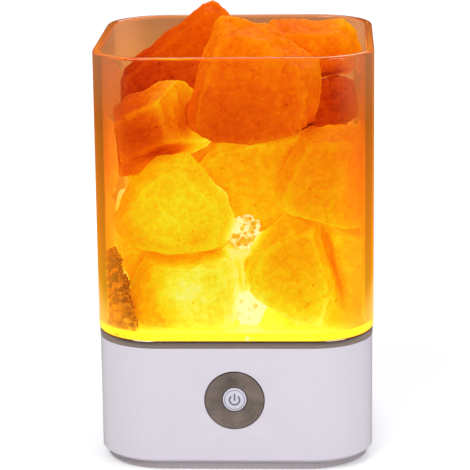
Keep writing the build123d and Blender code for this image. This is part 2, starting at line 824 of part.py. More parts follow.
chunks = [
    Chunk(
        "bottom_left",
        [(-37, -8), (-39.5, 8), (-39, 13), (-32, 27), (-13, 26.6), (-1.5, 27), (2.6, 21.5), (3, 8), (2, -8)],
        -29, 0.0, 16.5, 14, (-0.1, 0.05),
    ),
    Chunk(
        "bottom_right",
        [(19, 39.6), (30.5, 39.6), (33, 31), (36.8, 15), (37.4, 9.5), (33, -3), (22, -1.5), (8, 7.5), (2, 13),
         (1.8, 19.5), (6.4, 31)],
        -29, 0.1, 15.5, 15, (0.1, 0.1),
    ),
    Chunk(
        "middle_left",
        [(-44.5, 38.6), (-37, 53), (-28, 61), (-16.5, 62.2), (-1.4, 46.2), (0.9, 37), (-2, 27.5),
         (-15, 24.6), (-35, 26.6), (-43, 33)],
        -29, 0.15, 15, 14, (0.1, 0.12),
    ),
    Chunk(
        "middle_right",
        [(24, 70.6), (34, 72), (44.6, 71.6), (50, 68), (50, 34), (42, 31), (31, 35), (15, 40.5), (12.4, 46),
         (18.3, 59)],
        -27, 0.1, 16, 15, (-0.05, 0.1),
    ),
    Chunk(
        "top_front",
        [(-5, 109.3), (2, 108.5), (11.5, 106.6), (31.8, 93.2), (32.5, 83), (29, 65.5), (6.7, 63.2),
         (-9, 63.8), (-18, 70.5), (-18.2, 77), (-10, 101.5)],
        -18, 0.3, 17, 14, (0.06, 0.2),
    ),
    Chunk(
        "upper_left",
        [(-46, 70), (-46, 76.5), (-41.8, 79.9), (-28.2, 86.1), (-19, 87.7), (-12, 84), (-2.5, 62), (-8, 48),
         (-27, 41), (-44, 43)],
        -14, -0.25, 20, 14, (0.1, 0.05),
    ),
    Chunk(
        "centre",
        [(-16, 52), (-8, 61), (12, 64), (27, 66), (28, 48), (16, 30), (8, 22), (-4, 23), (-14, 38)],
        -4, 0.0, 13, 12, (0.0, 0.1), False,
    ),
    Chunk(
        "left_edge",
        [(-46.5, 36), (-44.5, 45), (-30, 46), (-14, 40), (-16, 12), (-27, -5), (-38, 3), (-44, 19)],
        -13, 0.0, 15, 13, (0.2, 0.0),
    ),
    Chunk(
        "right_edge",
        [(32, 36), (50, 36), (50, -5), (24, -5), (19, 14), (24, 31)],
        -14, 0.0, 16, 14, (-0.1, 0.0),
    ),
    Chunk(
        "upper_right",
        [(16, 80), (38.5, 86), (45.5, 84), (48, 74), (48, 60), (30, 55), (14, 61)],
        -4, 0.1, 9, 14, (0.0, 0.1),
    ),
    Chunk(
        "core",
        [(-14, -5), (-17, 14), (-8, 24), (10, 23), (19, 12), (15, -5)],
        -4, 0.0, 12, 13, (0.0, 0.0), False,
    ),
    Chunk(
        "back_bottom_left",
        [(-52, -6), (-52, 26), (-36, 35), (-14, 34), (-3, 22), (-4, -6)],
        27, 0.0, 22, 18, (0.05, 0.1), False,
    ),
    Chunk(
        "back_bottom_right",
        [(52, -6), (52, 27), (34, 36), (12, 35), (-1, 22), (-3, -6)],
        26, 0.0, 20, 19, (0.1, 0.05), False,
    ),
    Chunk(
        "back_middle_left",
        [(-47, 42), (-45, 60), (-32, 69), (-12, 66), (-2, 50), (-6, 34), (-24, 30), (-42, 33)],
        25, 0.1, 22, 18, (0.1, 0.1), False,
    ),
    Chunk(
        "back_middle_right",
        [(47, 40), (46, 62), (34, 72), (10, 68), (-2, 52), (0, 34), (20, 31), (42, 34)],
        25, 0.05, 21, 19, (0.05, 0.15), False,
    ),
    Chunk(
        "peak",
        [(-9, 109.2), (-3.5, 105), (-1, 92), (-5, 76), (-19, 67), (-38, 62), (-50, 66), (-50, 80),
         (-38.5, 88.5), (-30, 95), (-17.5, 104.2), (-12.3, 108.6)],
        24, 0.2, 13, 14, (0.1, 0.1),
    ),
    Chunk(
        "top_right",
        [(8, 97), (12, 103), (39.5, 103.5), (44.5, 98), (48.5, 91.5), (49, 78), (44, 70), (22, 68), (8, 74),
         (4, 88)],
        14, 0.25, 15, 15, (0.1, 0.1),
    ),
    Chunk(
        "back_upper",
        [(-14, 66), (-12, 80), (4, 90), (14, 84), (16, 70), (4, 60)],
        8, 0.1, 13, 30, (0.0, 0.1), False,
    ),
]

# The vessel's inside as planes that look inwards: the floor, and round it the four
# walls with the corners' arcs in steps.
corner_steps = 4
clear_half = vessel_width / 2 - vessel_wall - bed_gap
corner_radius = vessel_corner_radius - vessel_wall
corner_centre = vessel_width / 2 - vessel_corner_radius
inside_planes = [Plane((0, 0, salt_floor_z + bed_gap), z_dir=(0, 0, 1))]
for quarter in range(4):
    for step in range(corner_steps):
        outward = Vector(1, 0, 0).rotate(Axis.Z, step * 90 / corner_steps)
        centre = Vector(corner_centre, 0 if step == 0 else corner_centre, 0)
        chord = cos(radians(0 if step == 0 else 45 / corner_steps))
        reach = (clear_half - corner_centre) * chord
        wall_point = (centre + outward * reach).rotate(Axis.Z, 90 * quarter)
        inward = -outward.rotate(Axis.Z, 90 * quarter)
        inside_planes.append(Plane(wall_point, z_dir=inward))


def rough_points(chunk):
    """Corners of the rough chunk: its outline, and a smaller face before and behind."""
    spread = vessel_width / outline_vessel_width
    rise = vessel_height / outline_vessel_height
    outline = [(x * spread, height * rise) for x, height in chunk.outline]
    depth, forward, back = [size * spread for size in (chunk.depth, chunk.forward, chunk.back)]
    middle_x = sum(x for x, height in outline) / len(outline)
    middle_height = sum(height for x, height in outline) / len(outline)
    points = []
    for x, height in outline:
        across, up = x - middle_x, height - middle_height
        outline_y = depth + chunk.lean * up
        points.append((x, outline_y, salt_floor_z + height))
        small_x = middle_x + across * face_scale
        small_z = salt_floor_z + middle_height + up * face_scale
        front_turn = chunk.tilt[0] * across + chunk.tilt[1] * up
        points.append((small_x, outline_y - forward + front_turn, small_z))
        points.append((small_x, outline_y + back, small_z))
    return points


def worn_stone(solid):
    """The stone with its edges worn off: every face's corners are drawn in towards its middle."""
    points = []
    for face in solid.faces():
        middle = face.center()
        for vertex in face.vertices():
            inward = middle - Vector(vertex)
            step = min(edge_wear, inward.length / 3)
            points.append(tuple(Vector(vertex) + inward.normalized() * step))
    with BuildPart() as worn:
        ConvexPolyhedron(points)
    return worn.part


def reach_past(plane, solid):
    """How far a solid reaches behind a plane, which is where it would be cut away."""
    return -min((Vector(vertex) - plane.origin).dot(plane.z_dir) for vertex in solid.vertices())


def boxes_meet(solid, neighbour):
    """Whether the boxes round two solids come within the bed gap of each other."""
    box, other = solid.bounding_box(), neighbour.bounding_box()
    between = [
        max(box.min.X - other.max.X, other.min.X - box.max.X),
        max(box.min.Y - other.max.Y, other.min.Y - box.max.Y),
        max(box.min.Z - other.max.Z, other.min.Z - box.max.Z),
    ]
    return max(between) < bed_gap


def bed_plane(solid, neighbour):
    """The neighbour's face, one bed gap off, past which the solid reaches least."""
    faces = [Plane(face.center(), z_dir=face.normal_at()).offset(bed_gap) for face in neighbour.faces()]
    return min(faces, key=lambda plane: reach_past(plane, solid))


def laid_stone(points, laid):
    """A stone from its rough corners, cut clear of the vessel and of every laid stone."""
    with BuildPart() as rough:
        ConvexPolyhedron(points)
        for plane in inside_planes:
            if reach_past(plane, rough.part) > 0:
                split(bisect_by=plane, keep=Keep.TOP)
        for neighbour in laid:
            if boxes_meet(rough.part, neighbour) and rough.part.distance_to(neighbour) < bed_gap:
                plane = bed_plane(rough.part, neighbour)
                if reach_past(plane, rough.part) > 0:
                    split(bisect_by=plane, keep=Keep.TOP)
    return rough.part


def grain_points(centre, turn):
    """Corners of a grain: directions spread round it by the golden angle, at uneven radii."""
    golden_angle = 137.5
    points = []
    for number in range(grain_corners):
        up = 1 - (2 * number + 1) / grain_corners
        around = radians(number * golden_angle + turn)
        radius = grain_size / 2 * (1 + grain_roughness * sin(around))
        level = sqrt(1 - up**2)
        points.append(tuple(centre + Vector(level * cos(around), level * sin(around), up) * radius))
    return points


laid_stones = []
for chunk in chunks:
    salt_chunk = laid_stone(rough_points(chunk), laid_stones)
    if chunk.worn:
        salt_chunk = worn_stone(salt_chunk)
    laid_stones.append(salt_chunk)
    write_piece(salt_chunk, f"salt_chunk_{chunk.name}")

grain_ring = corner_radius - bed_gap - grain_size / 2
with BuildPart() as salt_grains:
    for level, grains in enumerate(grain_rows):
        for number in range(grains):
            angle = grain_start_angle + grain_step_angle * (number + grain_stagger * (level % 2))
            ring_point = Vector(grain_ring, 0, 0).rotate(Axis.Z, angle)
            corner = Vector(-corner_centre, -corner_centre, salt_floor_z)
            lift = Vector(0, 0, grain_size * (0.5 + grain_nesting * level))
            grain = laid_stone(grain_points(corner + ring_point + lift, angle * level), laid_stones)
            laid_stones.append(grain)
            add(grain)
write_piece(salt_grains.part, "salt_grains")
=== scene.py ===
import logging
import math
import random
from contextlib import contextmanager
from dataclasses import dataclass, field
from enum import Enum
from typing import Any, Callable, Iterator, Mapping, Optional, Sequence, Union

import bmesh
import bpy
import numpy as np
from mathutils import Matrix, Vector
from mathutils.bvhtree import BVHTree


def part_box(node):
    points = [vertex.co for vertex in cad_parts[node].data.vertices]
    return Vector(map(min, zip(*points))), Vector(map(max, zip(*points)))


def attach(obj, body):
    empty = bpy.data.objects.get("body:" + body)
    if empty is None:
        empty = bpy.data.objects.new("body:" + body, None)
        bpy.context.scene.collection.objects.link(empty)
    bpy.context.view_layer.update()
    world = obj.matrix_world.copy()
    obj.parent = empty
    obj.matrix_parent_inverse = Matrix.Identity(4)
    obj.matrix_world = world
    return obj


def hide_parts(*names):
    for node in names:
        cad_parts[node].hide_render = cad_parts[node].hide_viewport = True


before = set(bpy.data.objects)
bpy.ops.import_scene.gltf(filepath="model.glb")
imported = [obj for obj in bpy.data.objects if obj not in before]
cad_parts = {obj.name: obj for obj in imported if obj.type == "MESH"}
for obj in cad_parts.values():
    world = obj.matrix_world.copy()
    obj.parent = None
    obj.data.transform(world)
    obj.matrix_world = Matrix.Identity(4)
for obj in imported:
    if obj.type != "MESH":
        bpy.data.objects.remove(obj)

# Salt crystal lamp: a square glass vessel of rough salt lit from the white base
# under it. Metres, in the lamp's own frame: +Z up, the front looks along -Y.

LOG = logging.getLogger("lamp")
MM = 0.001
TOUCH = 1e-6  # how close two places are that count as one, in m
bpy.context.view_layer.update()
Colour = tuple[float, float, float]


def tone(red: float, green: float, blue: float) -> Colour:
    """A display colour from 0 to 255 as the linear colour that shaders take.

    Args:
        red: how much red a display shows.
        green: how much green it shows.
        blue: how much blue it shows.

    Returns:
        The linear colour.
    """
    shares = (channel / 255 for channel in (red, green, blue))
    return tuple(s / 12.92 if s <= 0.04045 else ((s + 0.055) / 1.055) ** 2.4 for s in shares)


# ------------------------------------------------------------------ shader maths
class Value:
    """A number that varies over a surface: a node's socket with arithmetic."""

    def __init__(self, paint: "NodeTree", socket: bpy.types.NodeSocket) -> None:
        """Wrap a socket of a node tree."""
        self.paint = paint
        self.socket = socket

    def _join(self, operation: str, *terms: Any) -> "Value":
        """Add a Math node over the terms and return what it gives."""
        return self.paint.maths(operation, *terms)

    def __add__(self, other: Any) -> "Value":
        """This number plus another."""
        return self._join("ADD", self, other)

    __radd__ = __add__

    def __sub__(self, other: Any) -> "Value":
        """This number less another."""
        return self._join("SUBTRACT", self, other)

    def __rsub__(self, other: Any) -> "Value":
        """Another number less this one."""
        return self._join("SUBTRACT", other, self)

    def __mul__(self, other: Any) -> "Value":
        """This number times another."""
        return self._join("MULTIPLY", self, other)

    __rmul__ = __mul__

    def __truediv__(self, other: Any) -> "Value":
        """This number over another."""
        return self._join("DIVIDE", self, other)

    def __rtruediv__(self, other: Any) -> "Value":
        """Another number over this one."""
        return self._join("DIVIDE", other, self)

    def __pow__(self, other: Any) -> "Value":
        """This number to a power."""
        return self._join("POWER", self, other)

    def __neg__(self) -> "Value":
        """This number with its sign changed."""
        return self._join("MULTIPLY", self, -1.0)

    def exp(self) -> "Value":
        """Euler's number to this power."""
        return self._join("EXPONENT", self)

    def at_most(self, limit: float) -> "Value":
        """This number, cut off above a limit."""
        return self._join("MINIMUM", self, limit)

    def step(self, low: float, high: float) -> "Value":
        """A smooth step from 0 at the low end to 1 at the high end.

        Args:
            low: where the step starts.
            high: where the step ends.

        Returns:
            The stepped number.
        """
        node = self.paint.node(
            "ShaderNodeMapRange",
            {"interpolation_type": "SMOOTHSTEP"},
            {"Value": self, "From Min": low, "From Max": high},
        )
        return Value(self.paint, node.outputs["Result"])


Input = Union[Value, float, Sequence[float], bpy.types.NodeSocket]


class NodeTree:
    """A node tree, with one way to add a node to it."""

    def __init__(self, tree: bpy.types.NodeTree) -> None:
        """Empty a node tree.

        Args:
            tree: the node tree.
        """
        self.tree = tree
        self.tree.nodes.clear()

    def node(
        self,
        kind: str,
        settings: Optional[Mapping[str, Any]] = None,
        sockets: Optional[Mapping[Any, Any]] = None,
    ) -> bpy.types.Node:
        """Add a node, set it up and fill or link its sockets.

        Args:
            kind: the node's type.
            settings: its properties, or the stops of a colour ramp.
            sockets: numbers, colours, values or sockets, by input name or number.

        Returns:
            The node.
        """
        node = self.tree.nodes.new(kind)
        for name, setting in (settings or {}).items():
            if name == "stops":
                elements = node.color_ramp.elements
                while len(elements) < len(setting):
                    elements.new(0.5)
                for element, (position, colour) in zip(elements, setting):
                    element.position = position
                    element.color = (*colour, 1.0)
            else:
                setattr(node, name, setting)
        for name, value in (sockets or {}).items():
            self.feed(node.inputs[name], value)
        return node

    def feed(self, target: bpy.types.NodeSocket, value: Input) -> None:
        """Link a value to a socket, or write a constant into it.

        Args:
            target: the socket to fill.
            value: what goes in.
        """
        if isinstance(value, Value):
            self.tree.links.new(value.socket, target)
        elif isinstance(value, bpy.types.NodeSocket):
            self.tree.links.new(value, target)
        elif isinstance(value, (tuple, list)) and len(value) == 3 and target.type == "RGBA":
            target.default_value = (*value, 1.0)
        else:
            target.default_value = value

    def maths(self, operation: str, *terms: Any) -> Value:
        """Add a Math node.

        Args:
            operation: its operation.
            terms: its numbers.

        Returns:
            What it gives.
        """
        node = self.node("ShaderNodeMath", {"operation": operation}, dict(enumerate(terms)))
        return Value(self, node.outputs[0])

    def blend(self, share: Input, first: Input, second: Input) -> bpy.types.NodeSocket:
        """Two colours mixed.

        Args:
            share: how much of the second there is.
            first: the first colour.
            second: the second colour.

        Returns:
            The mixed colour's socket.
        """
        node = self.node("ShaderNodeMix", {"data_type": "RGBA"}, {0: share, 6: first, 7: second})
        return node.outputs[2]

    def seen_rays(self) -> tuple[Value, Value]:
        """Tell what kind of ray asks for a colour.

        Returns:
            1 for rays that the camera sends, straight or through glass, and 1 for mirrored rays.
        """
        path = self.node("ShaderNodeLightPath")
        straight = Value(self, path.outputs["Is Camera Ray"])
        through = Value(self, path.outputs["Is Transmission Ray"])
        mirrored = Value(self, path.outputs["Glossy Depth"]).at_most(1.0)
        return (straight + through).at_most(1.0) * (1.0 - mirrored), mirrored


class Paint(NodeTree):
    """One material's nodes, with its shader, its coordinates and its patterns."""

    cloud_roughness = 0.55

    def __init__(self, name: str) -> None:
        """Start a material with one principled shader.

        Args:
            name: the material's name.
        """
        self.material = bpy.data.materials.new(name)
        self.material.use_nodes = True
        super().__init__(self.material.node_tree)
        self.shader = self.node("ShaderNodeBsdfPrincipled")
        self.node("ShaderNodeOutputMaterial", {}, {"Surface": self.shader.outputs[0]})
        place = self.node("ShaderNodeTexCoord").outputs["Object"]
        scaled = self.node("ShaderNodeVectorMath", {"operation": "SCALE"}, {0: place, "Scale": 1 / MM})
        self.place = scaled.outputs[0]
        axes = self.node("ShaderNodeSeparateXYZ", {}, {0: self.place})
        self.x, self.y, self.z = (Value(self, axes.outputs[axis]) for axis in range(3))

    def set(self, **sockets: Input) -> None:
        """Fill the shader's sockets, named in small letters with underscores."""
        for name, value in sockets.items():
            title = " ".join(word if word == "IOR" else word.capitalize() for word in name.split("_"))
            self.feed(self.shader.inputs[title], value)

    def stretched(self, across: float, deep: float, up: float) -> bpy.types.NodeSocket:
        """The place in mm, with each axis drawn out by a factor.

        Args:
            across: the factor along X.
            deep: the factor along Y.
            up: the factor along Z.

        Returns:
            The stretched place.
        """
        node = self.node(
            "ShaderNodeVectorMath", {"operation": "DIVIDE"}, {0: self.place, 1: (across, deep, up)}
        )
        return node.outputs[0]

    def clouds(self, size: float, detail: float = 3.0, shift: float = 0.0, place: Any = None) -> Value:
        """Cloudy noise about 0.5.

        Args:
            size: how wide a cloud is, in mm.
            detail: how many finer layers it has.
            shift: a number that gives another pattern.
            place: the place to read it at, where it isn't the plain one.

        Returns:
            The noise.
        """
        sockets = {"Vector": place or self.place, "W": shift, "Scale": 1 / size, "Detail": detail}
        sockets["Roughness"] = self.cloud_roughness
        return Value(self, self.node("ShaderNodeTexNoise", {"noise_dimensions": "4D"}, sockets).outputs[0])

    def cells(self, size: float, feature: str = "F1", spread: float = 1.0) -> bpy.types.Node:
        """Cells of random size, for grains, specks and chips.

        Args:
            size: how wide a cell is, in mm.
            feature: what the cells measure.
            spread: how unevenly they lie.

        Returns:
            The node, with its distance and its colour.
        """
        return self.node(
            "ShaderNodeTexVoronoi",
            {"feature": feature},
            {"Vector": self.place, "Scale": 1 / size, "Randomness": spread},
        )

    def attribute(self, name: str) -> Value:
        """A number that the piece's own mesh carries."""
        node = self.node("ShaderNodeAttribute", {"attribute_name": name})
        return Value(self, node.outputs["Fac"])

    def ramp(self, share: Value, stops: Sequence[tuple[float, Colour]]) -> bpy.types.NodeSocket:
        """A colour picked by a number.

        Args:
            share: the number.
            stops: places between 0 and 1 and their colours.

        Returns:
            The colour's socket.
        """
        node = self.node("ShaderNodeValToRGB", {"stops": stops}, {"Fac": share})
        return node.outputs["Color"]

    def lamplight(self, spread: float = 1.0) -> Value:
        """How much light breaks through near the gaps between the stones.

        Args:
            spread: how much further it reaches than its lamps say.

        Returns:
            The share of the light.
        """
        total = None
        for lamp in LAMPLIGHTS:
            parts = [axis - middle for axis, middle in zip((self.x, self.y, self.z), lamp.place)]
            square = parts[0] * parts[0] + parts[1] * parts[1] + parts[2] * parts[2]
            share = (-(square / (lamp.reach * spread) ** 2)).exp() * lamp.power
            total = share if total is None else total + share
        return total

    def relief(self, height: Value, depth: float) -> None:
        """Roughen the surface by a height.

        Args:
            height: the height, about 0 to 1.
            depth: how deep it is, in mm.
        """
        sockets = {"Strength": 1.0, "Distance": depth * MM, "Height": height}
        self.feed(self.shader.inputs["Normal"], self.node("ShaderNodeBump", {}, sockets).outputs[0])


# ----------------------------------------------------------------------- finishes
@dataclass(frozen=True)
class Plastic:
    """Moulded plastic with a faint mottle and a fine skin.

    Attributes:
        name: the finish's name.
        colour: its colour.
        roughness: how matt it is.
        skin: the depth of its skin's texture, in mm.
        grain: the width of that texture, in mm.
        mottle: how far its colour wanders.
        coat: how much of a clear gloss lies on it.
    """

    name: str
    colour: Colour
    roughness: float = 0.35
    skin: float = 0.004
    grain: float = 0.5
    mottle: float = 0.04
    coat: float = 0.0

    def build(self) -> bpy.types.Material:
        """Make the material.

        Returns:
            The material.
        """
        paint = Paint(self.name)
        wander = paint.clouds(9.0, 4.0)
        dark = tuple(channel * (1 - self.mottle) for channel in self.colour)
        light = tuple(min(1.0, channel * (1 + self.mottle)) for channel in self.colour)
        fine = paint.clouds(self.grain, 2.0, 3.0)
        paint.set(base_color=paint.blend(wander, dark, light), roughness=self.roughness + (fine - 0.5) * 0.08)
        paint.shader.inputs["Coat Weight"].default_value = self.coat
        paint.shader.inputs["Coat Roughness"].default_value = 0.08
        paint.relief(fine, self.skin)
        return paint.material


@dataclass(frozen=True)
class Metal:
    """Bare or plated metal.

    Attributes:
        name: the finish's name.
        colour: its colour.
        roughness: how matt it is.
        streak: how far its brushing is drawn out, as factors along X, Y and Z.
        scratch: the depth of its brushing, in mm.
    """

    name: str
    colour: Colour
    roughness: float = 0.25
    streak: tuple[float, float, float] = (6.0, 6.0, 0.6)
    scratch: float = 0.002

    def build(self) -> bpy.types.Material:
        """Make the material.

        Returns:
            The material.
        """
        paint = Paint(self.name)
        lines = paint.clouds(0.35, 3.0, 1.0, paint.stretched(*self.streak))
        stain = paint.clouds(5.0, 4.0, 7.0)
        dark = tuple(channel * 0.78 for channel in self.colour)
        paint.set(
            base_color=paint.blend(stain, dark, self.colour),
            metallic=1.0,
            roughness=self.roughness + (lines - 0.5) * 0.12 + (stain - 0.5) * 0.06,
        )
        paint.relief(lines, self.scratch)
        return paint.material


@dataclass(frozen=True)
class SpunDish:
    """Dark metal turned on a lathe, with rings, slow broad painted reflections and a painted shadow line
    round its rim.

    Attributes:
        name: the finish's name.
        colour: its colour.
        centre_z: the height of the turning axis, in mm.
        edge: the radius from which on the rim's painted shadow line is dark, in mm.
        shadow_line_width: how softly that line starts, in mm.
        shadow_line_colour: the line's colour.
        rings: the width of one ring, in mm.
    """

    name: str
    colour: Colour
    centre_z: float
    edge: float
    shadow_line_width: float = 0.2
    shadow_line_colour: Colour = (0.01, 0.01, 0.01)
    rings: float = 0.16

    def build(self) -> bpy.types.Material:
        """Make the material.

        Returns:
            The material.
        """
        paint = Paint(self.name)
        up = paint.z - self.centre_z
        radius = (paint.x * paint.x + up * up) ** 0.5
        angle = paint.maths("ARCTAN2", up, paint.x)
        around = paint.node("ShaderNodeCombineXYZ", {}, {0: radius * 4.0, 1: angle * 0.4, 2: 0.0}).outputs[0]
        lathe = paint.clouds(1.0, 4.0, 0.0, around)
        # Painted reflection: a slow light and dark sweep round the dish stands in for the spun metal's broad
        # highlights.
        painted_sheen = paint.maths("SINE", angle * 2.0 + 0.7) * 0.5 + 0.5
        stain = paint.clouds(6.0, 3.0, 2.0)
        shade = (lathe - 0.5) * 1.0 + painted_sheen * 0.2 + (stain - 0.5) * 2.2 + 0.5
        dark = tuple(channel * 0.6 for channel in self.colour)
        light = tuple(channel * 1.35 for channel in self.colour)
        # Painted shadow: the dark line round the rim stands in for the shade in the gap where the dish seats.
        line = radius.step(self.edge - self.shadow_line_width, self.edge)
        metal = paint.blend(line, paint.blend(shade, dark, light), self.shadow_line_colour)
        paint.set(base_color=metal, metallic=0.45, roughness=0.38 + (lathe - 0.5) * 0.12)
        ripple = paint.maths("SINE", radius * (2 * math.pi / self.rings)) * 0.5 + 0.5
        paint.relief(ripple * 0.6 + lathe * 0.4, 0.004)
        return paint.material


Stops = Sequence[tuple[float, Colour]]
# Painted light: the amber tints of the walls by height stand in for the salt's light that the walls pick up.
GLASS_LIGHT_TINTS: Stops = (
    (0.0, (0.95, 0.55, 0.03)),
    (0.3, (0.88, 0.38, 0.02)),
    (0.65, (0.7, 0.25, 0.04)),
    (1.0, (0.42, 0.17, 0.07)),
)
# Painted glow of the glass walls, from the foot up to the rim.
GLASS_GLOWS: Stops = (
    (0.0, (0.5, 0.3, 0.02)),
    (0.35, (0.5, 0.2, 0.01)),
    (0.75, (0.36, 0.12, 0.01)),
    (1.0, (0.38, 0.17, 0.08)),
)


@dataclass(frozen=True)
class VesselGlass:
    """Glass with the salt's light painted in: an amber tint, clear in front and deeper at its sides and back,
    and a painted glow.

    Attributes:
        name: the finish's name.
        floor_z: the height of the vessel's underside, in mm.
        rim_z: the height of its rim, in mm.
        half: half the vessel's width, in mm.
        front: the tint of the front wall.
        foot: the painted glow at the foot.
        foot_reach: how far up that glow reaches, in mm.
        rim: the painted glow at the rim.
        tint_wander: how far the tint wanders up and down, as a share of the height.
    """

    name: str
    floor_z: float
    rim_z: float
    half: float
    front: Colour = (0.995, 0.96, 0.92)
    foot: Colour = (1.0, 0.6, 0.01)
    foot_reach: float = 3.2
    rim: Colour = (0.33, 0.06, 0.0)
    tint_wander: float = 0.2

    def build(self) -> bpy.types.Material:
        """Make the material.

        Returns:
            The material.
        """
        paint = Paint(self.name)
        height = (paint.z - self.floor_z) / (self.rim_z - self.floor_z)
        side = paint.maths("ABSOLUTE", paint.x).step(self.half - 16.0, self.half - 2.0)
        back = paint.y.step(-self.half + 2.0, -self.half + 24.0)
        depth = paint.maths("MAXIMUM", back, side)
        tint_wander = paint.clouds(30.0, 3.0, 4.0)
        # Painted light: the sides and back take the salt's light as a tint by height, while the front stays
        # nearly clear.
        tint = paint.blend(depth, self.front, paint.ramp(height + (tint_wander - 0.5) * self.tint_wander, GLASS_LIGHT_TINTS))
        at_foot = (-(paint.z - self.floor_z) / self.foot_reach).exp().at_most(1.0)
        at_rim = (paint.z - self.rim_z + 0.9).step(-0.5, 0.6)
        # Painted light: the glass is no lamp, yet it is given a glow at its sides, a bright one at its foot
        # and a line of it at its rim, standing in for the salt's light caught in the walls.
        glow = paint.blend(side * 0.6, (0.0, 0.0, 0.0), paint.ramp(height, GLASS_GLOWS))
        glow = paint.blend(at_foot * (0.65 - side * 0.58), glow, self.foot)
        glow = paint.blend(at_rim, glow, self.rim)
        paint.set(base_color=tint, emission_color=glow, emission_strength=0.8, roughness=0.0)
        paint.shader.inputs["Transmission Weight"].default_value = 1.0
        paint.shader.inputs["IOR"].default_value = 1.45
        paint.relief(paint.clouds(14.0, 2.0, 6.0), 0.02)
        return paint.material


SALT_LIGHTS: Stops = (
    (0.0, tone(120, 22, 0)),
    (0.15, tone(196, 52, 0)),
    (0.35, tone(234, 92, 1)),
    (0.52, tone(250, 138, 4)),
    (0.66, tone(254, 178, 5)),
    (0.8, tone(253, 222, 20)),
    (0.9, tone(255, 248, 60)),
    (1.0, tone(255, 254, 130)),
)
GRAIN_LIGHTS: Stops = (
    (0.0, tone(70, 26, 4)),
    (0.3, tone(150, 66, 10)),
    (0.55, tone(214, 130, 20)),
    (0.8, tone(250, 205, 40)),
    (1.0, tone(255, 254, 190)),
)


@dataclass(frozen=True)
class Lamplight:
    """Where the light breaks through between the stones: a place and a reach, in mm."""

    place: tuple[float, float, float]
    reach: float
    power: float


LAMPLIGHTS = (
    Lamplight((4.9, -34.0, 57.0), 8.0, 0.5),
    Lamplight((3.2, -27.0, 83.5), 8.0, 0.4),
    Lamplight((2.8, -34.0, 69.0), 4.0, 0.15),
    Lamplight((-2.5, -28.0, 103.0), 4.5, 0.25),
    Lamplight((-9.5, -28.0, 113.0), 4.0, 0.22),
    Lamplight((21.4, -30.0, 96.0), 4.0, 0.25),
)


@dataclass(frozen=True)
class Mottle:
    """A layer of clouds in the salt.

    Attributes:
        width: how wide a cloud is, in mm.
        detail: how many finer layers it has.
        shift: what sets it apart from the other layers.
        gain: how far it moves the light.
    """

    width: float
    detail: float
    shift: float
    gain: float


@dataclass(frozen=True)
class Dots:
    """Dots strewn over the salt: dark specks where the gain is below 0, painted sparkle highlights where it
    is above 0.

    Attributes:
        pitch: how far apart they lie, in mm.
        inner: the share of the pitch up to which a dot is full.
        outer: the share of the pitch at which it has faded.
        gain: what it adds to the light.
    """

    pitch: float
    inner: float
    outer: float
    gain: float


SALT_MOTTLES = (Mottle(3.0, 5.0, 5.0, 0.11), Mottle(0.7, 2.0, 6.0, 0.09))
# Dark specks, then small painted sparkle highlights.
SALT_DOTS = (Dots(5.0, 0.04, 0.09, -0.25), Dots(1.7, 0.06, 0.16, 0.1))


@dataclass(frozen=True)
class SaltGlow:
    """Rough rock salt lit through from below.

    Attributes:
        name: the finish's name.
        level: how bright the stone is, from 0, deep red, to 1, near white.
        slope: how much brighter it gets for each mm along X, Y and Z.
        centre: where it has that level, in mm.
        heart: how much brighter its middle is, below 0 where it is darker.
        edge: how much brighter its thin edges are.
        cloud: how far the light wanders inside it.
        seed: a number that gives it a pattern of its own.
        cloud_width: how wide the clouds inside it are, in mm.
        heart_area: how far its middle reaches, in square mm.
        grain: how much brighter a proud grain of its skin is painted, a hollow darker.
        crevice: how much darker it is where another stone touches it.
        crack_width: how far apart its cracks run, in mm.
        crack: how much darker a crack is.
        strength: how strongly it shines.
    """

    name: str
    level: float
    slope: tuple[float, float, float]
    centre: tuple[float, float, float]
    heart: float
    edge: float
    cloud: float
    seed: float
    cloud_width: float = 17.0
    heart_area: float = 150.0
    grain: float = 0.035
    crevice: float = 0.28
    crack_width: float = 16.0
    crack: float = 0.04
    strength: float = 0.8

    def light(self, paint: Paint) -> Value:
        """How brightly each place of the stone is lit.

        Args:
            paint: the material's nodes.

        Returns:
            The light, from 0 to 1.
        """
        away = [axis - middle for axis, middle in zip((paint.x, paint.y, paint.z), self.centre)]
        light = paint.clouds(self.cloud_width, 5.0, self.seed) * self.cloud
        for part, rate in zip(away, self.slope):
            if rate:
                light = light + part * rate
        off_middle = away[0] * away[0] + away[2] * away[2]
        light = light + (self.level - self.cloud * 0.5) + (-(off_middle / self.heart_area)).exp() * self.heart
        # Painted light and shade: thin edges and proud grains of the skin are brighter, hollows darker.
        light = light + paint.attribute("edge") * self.edge + paint.attribute("grain") * self.grain
        # Painted shade: a stone is darker where another stone lies near it.
        light = light + paint.lamplight() - paint.attribute("crevice") * self.crevice
        for mottle in SALT_MOTTLES:
            clouds = paint.clouds(mottle.width, mottle.detail, self.seed + mottle.shift)
            light = light + (clouds - 0.5) * mottle.gain
        off_crack = paint.clouds(self.crack_width, 6.0, self.seed + 9.0) - 0.5
        light = light - (1.0 - (off_crack * off_crack).step(0.0, 0.0002)) * self.crack
        # Dark specks and painted sparkle highlights.
        for dots in SALT_DOTS:
            distance = Value(paint, paint.cells(dots.pitch).outputs["Distance"])
            light = light + (1.0 - distance.step(dots.inner, dots.outer)) * dots.gain
        return light

    def build(self) -> bpy.types.Material:
        """Make the material.

        Returns:
            The material.
        """
        paint = Paint(self.name)
        glow = paint.ramp(self.light(paint), SALT_LIGHTS)
        crystal = paint.clouds(0.9, 3.0, self.seed + 2.0)
        paint.set(
            base_color=paint.blend(0.75, glow, (0.02, 0.0, 0.0)),
            emission_color=glow,
            emission_strength=self.strength,
            roughness=0.42 + (crystal - 0.5) * 0.4,
        )
        paint.shader.inputs["Specular IOR Level"].default_value = 0.01
        paint.relief(crystal * 0.5 + paint.clouds(3.0, 4.0, self.seed) * 0.8, 0.5)
        return paint.material


